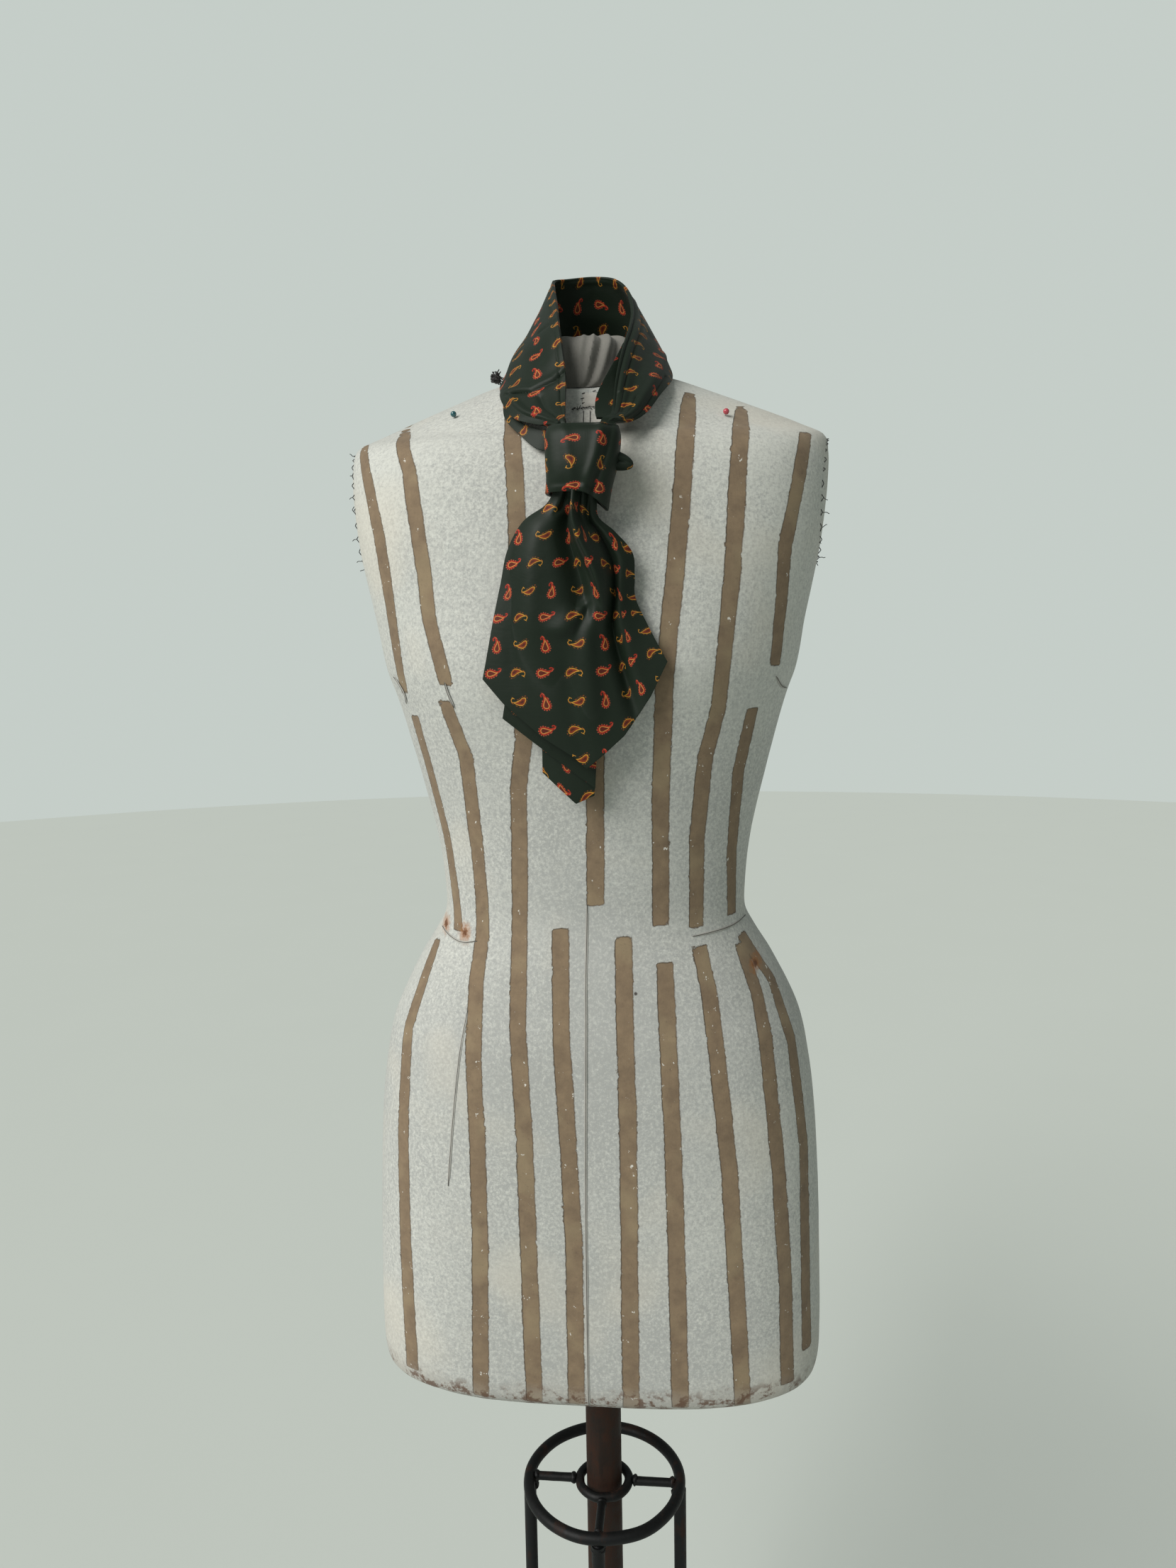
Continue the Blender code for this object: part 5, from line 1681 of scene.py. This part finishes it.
class CravatAddKnot(bpy.types.Operator):
    """Adds the knot's wrap and the small loop tucked out at its right"""
    bl_idname = "cravat.add_knot"
    bl_label = "Knot"

    red_height = 1.3418         # of a row of red paisleys on the knot
    row_apart = 0.0147          # between its rows of paisleys
    first_x = 0.0014            # of a paisley that lies across

    def knot_ring(self, down, sides):
        row = along_rows(KNOT_ROWS, down * (len(KNOT_ROWS) - 1))
        turn = -math.tau * np.arange(sides + 1) / sides
        cosine, sine = np.cos(turn), np.sin(turn)
        power = 2 / KNOT_SQUARE
        across = np.sign(cosine) * np.abs(cosine) ** power
        x = (row.left + row.right) / 2 + across * (row.right - row.left) / 2
        y = (row.front + row.back) / 2
        y = y + np.sign(sine) * np.abs(sine) ** power * (row.back - row.front) / 2
        dip = KNOT_DIP * down ** 3 * np.maximum(0.0, across) ** 2
        height = row.height - dip
        front = np.maximum(0.0, -sine)
        pull = (0.0020 * bell((across - 0.60 + 0.30 * down) / 0.14)
                - 0.0026 * bell((across - 0.86 + 0.34 * down) / 0.12)
                + 0.0009 * bell((across + 0.55 - 0.5 * down) / 0.16)
                - 0.0012 * bell((down - 0.80 - 0.22 * across) / 0.07) * soft_step(across, 0.0, 0.6)
                - 0.0010 * bell((down - 0.10 + 0.05 * across) / 0.05) * soft_step(across, -0.2, 0.5)
                + 0.0010 * bell((down - 0.95) / 0.06))
        return np.stack([x, y - pull * front, height], axis=1)

    def execute(self, context):
        sides, long = 132, 48
        rings = np.array([self.knot_ring(down, sides) for down in np.linspace(0.0, 1.0, long + 1)])
        flat = []
        for ring in rings:
            arcs = arc_lengths(ring)
            front = ring[:sides // 2 + 1]
            at = float(np.interp(-self.first_x, -front[:, 0], arcs[:sides // 2 + 1]))
            column = (ring[:, 2] - self.red_height) / self.row_apart + 2.5
            flat.append(np.stack([column * PRINT_PITCH, arcs - at + 2.5 * PRINT_PITCH], axis=1))
        silk_piece("silk_knot", rings[:, :-1], flat, BAND_CLOTH, "knot",
                   closed=True)
        self.add_tuck()
        return {"FINISHED"}

    def add_tuck(self):
        """The loop: a short folded tongue of silk, wide where it leaves the knot."""
        rows, sides = 36, 44
        inner, tip = np.array((0.0240, -0.1215, 1.3318)), np.array((0.0412, -0.1238, 1.3272))
        rings, flat = [], []
        for row in range(rows + 1):
            share = row / rows
            centre = inner + (tip - inner) * share
            blunt = math.sqrt(max(0.0, 1 - share ** 5)) * 0.98 + 0.02
            high = (0.0076 - 0.0030 * share) * blunt
            deep = (0.0062 - 0.0018 * share) * blunt
            ring, line = [], []
            for side in range(sides + 1):
                turn = math.tau * side / sides
                fold = 1 - 0.30 * float(bell((math.sin(turn) + 0.15 - 0.3 * share) / 0.22)
                                        * max(0.0, -math.cos(turn)))
                ring.append((centre[0], centre[1] + math.cos(turn) * deep * fold,
                             centre[2] + math.sin(turn) * high))
                line.append((share * 0.0210 + 0.0500, turn * 0.0058 + 0.0270))
            rings.append(ring[:-1])
            flat.append(line)
        mesh = Shape().grid(rings, flat, closed=True, caps=True).mesh("silk_knot_tuck")
        piece = put("silk_knot_tuck", mesh, finish_of("silk", silk_material),
                    ["knot_tuck"])


# ---- stage -------------------------------------------------------------------------------------
class CravatSetStage(bpy.types.Operator):
    """Sets the pale floor, the soft light and the camera"""
    bl_idname = "cravat.set_stage"
    bl_label = "Floor, light and camera"

    camera_far = 0.86
    camera_turn = 5.5
    camera_height = 1.20
    camera_down = 6.5
    camera_roll = 0.95
    camera_aside = -0.0042
    camera_view = 71.57         # degrees of view, bottom to top

    def set_camera(self):
        turn, down = math.radians(self.camera_turn), math.radians(self.camera_down)
        roll = math.radians(self.camera_roll)
        right = Vector((math.cos(turn), math.sin(turn), 0.0))
        ahead = Vector((-math.sin(turn) * math.cos(down), math.cos(turn) * math.cos(down),
                        -math.sin(down)))
        up = right.cross(ahead)
        aside = right * math.cos(roll) - up * math.sin(roll)
        above = up * math.cos(roll) + right * math.sin(roll)
        camera = bpy.data.objects.new("front_camera", bpy.data.cameras.new("front_camera"))
        camera.data.sensor_fit = "VERTICAL"
        camera.data.sensor_height = 36.0
        camera.data.lens = 18.0 / math.tan(math.radians(self.camera_view) / 2)
        camera.data.clip_start = 0.02
        camera.matrix_world = [(*column, 0.0) for column in (aside, above, -ahead)] + [
            (math.sin(turn) * self.camera_far + right.x * self.camera_aside,
             -math.cos(turn) * self.camera_far + right.y * self.camera_aside,
             self.camera_height, 1.0)]
        bpy.context.scene.collection.objects.link(camera)
        bpy.context.scene.camera = camera

    def add_light(self, name, place, aim, softness, strength, shade):
        """A wide soft light that falls from a place towards another, the same all over."""
        light = bpy.data.lights.new(name, "SUN")
        light.angle = math.radians(softness)
        light.energy = strength
        light.color = shade
        lamp = bpy.data.objects.new(name, light)
        lamp.location = place
        lamp.rotation_mode = "QUATERNION"
        lamp.rotation_quaternion = (Vector(aim) - Vector(place)).to_track_quat("-Z", "Y")
        bpy.context.scene.collection.objects.link(lamp)

    def execute(self, context):
        stage = setting("stage")
        rings = [[(reach * math.cos(math.tau * side / 96), reach * math.sin(math.tau * side / 96),
                   0.0) for side in range(96)] for reach in (0.0002, 1.0, 3.0, stage.floor_radius)]
        mesh = Shape().grid(rings, closed=True).mesh("floor")
        mesh.flip_normals()
        floor = bpy.data.objects.new("floor", mesh)
        mesh.materials.append(floor_material(tuple(stage.floor)))
        bpy.context.scene.collection.objects.link(floor)
        world = bpy.data.worlds.new("pale_air")
        world.use_nodes = True
        sky = world.node_tree.nodes["Background"]
        sky.inputs["Color"].default_value = (*stage.air, 1.0)
        seen = world.node_tree.nodes.new("ShaderNodeLightPath")
        strength = world.node_tree.nodes.new("ShaderNodeMapRange")
        strength.inputs["To Min"].default_value = stage.air_strength
        strength.inputs["To Max"].default_value = 1.0
        world.node_tree.links.new(seen.outputs["Is Camera Ray"], strength.inputs["Value"])
        world.node_tree.links.new(strength.outputs["Result"], sky.inputs["Strength"])
        bpy.context.scene.world = world
        bpy.context.scene.view_settings.view_transform = "Standard"
        self.add_light("key_light", (-1.85, -1.85, 2.95), (0.0, 0.0, 1.15), 42.0, stage.key_strength,
                       (1.0, 0.985, 0.955))
        self.set_camera()
        return {"FINISHED"}


OPERATORS = (CravatAddTorso, CravatAddSeams, CravatAddCap, CravatAddPins, CravatAddThreads,
             CravatAddStand, CravatAddBand, CravatAddBlade, CravatAddTails, CravatAddKnot,
             CravatSetStage)


class VIEW3D_PT_cravat(bpy.types.Panel):
    """Lists the settings and the pieces"""
    bl_label = "Cravat on a dress form"
    bl_space_type = "VIEW_3D"
    bl_region_type = "UI"
    bl_category = PANEL_PLACE

    def draw(self, context):
        for name, group in SETTINGS.items():
            box = self.layout.box()
            for field in group.__annotations__:
                box.prop(getattr(context.scene, name), field)
        for operator in OPERATORS:
            self.layout.operator(operator.bl_idname)


def register():
    for group in SETTINGS.values():
        bpy.utils.register_class(group)
    for name, group in SETTINGS.items():
        setattr(bpy.types.Scene, name, PointerProperty(type=group))
    for operator in OPERATORS:
        bpy.utils.register_class(operator)
    bpy.utils.register_class(VIEW3D_PT_cravat)


def unregister():
    bpy.utils.unregister_class(VIEW3D_PT_cravat)
    for operator in reversed(OPERATORS):
        bpy.utils.unregister_class(operator)
    for name in SETTINGS:
        delattr(bpy.types.Scene, name)
    for group in reversed(SETTINGS.values()):
        bpy.utils.unregister_class(group)


def main():
    register()
    for operator in OPERATORS:
        group, name = operator.bl_idname.split(".")
        getattr(getattr(bpy.ops, group), name)()


if __name__ == "__main__":
    main()
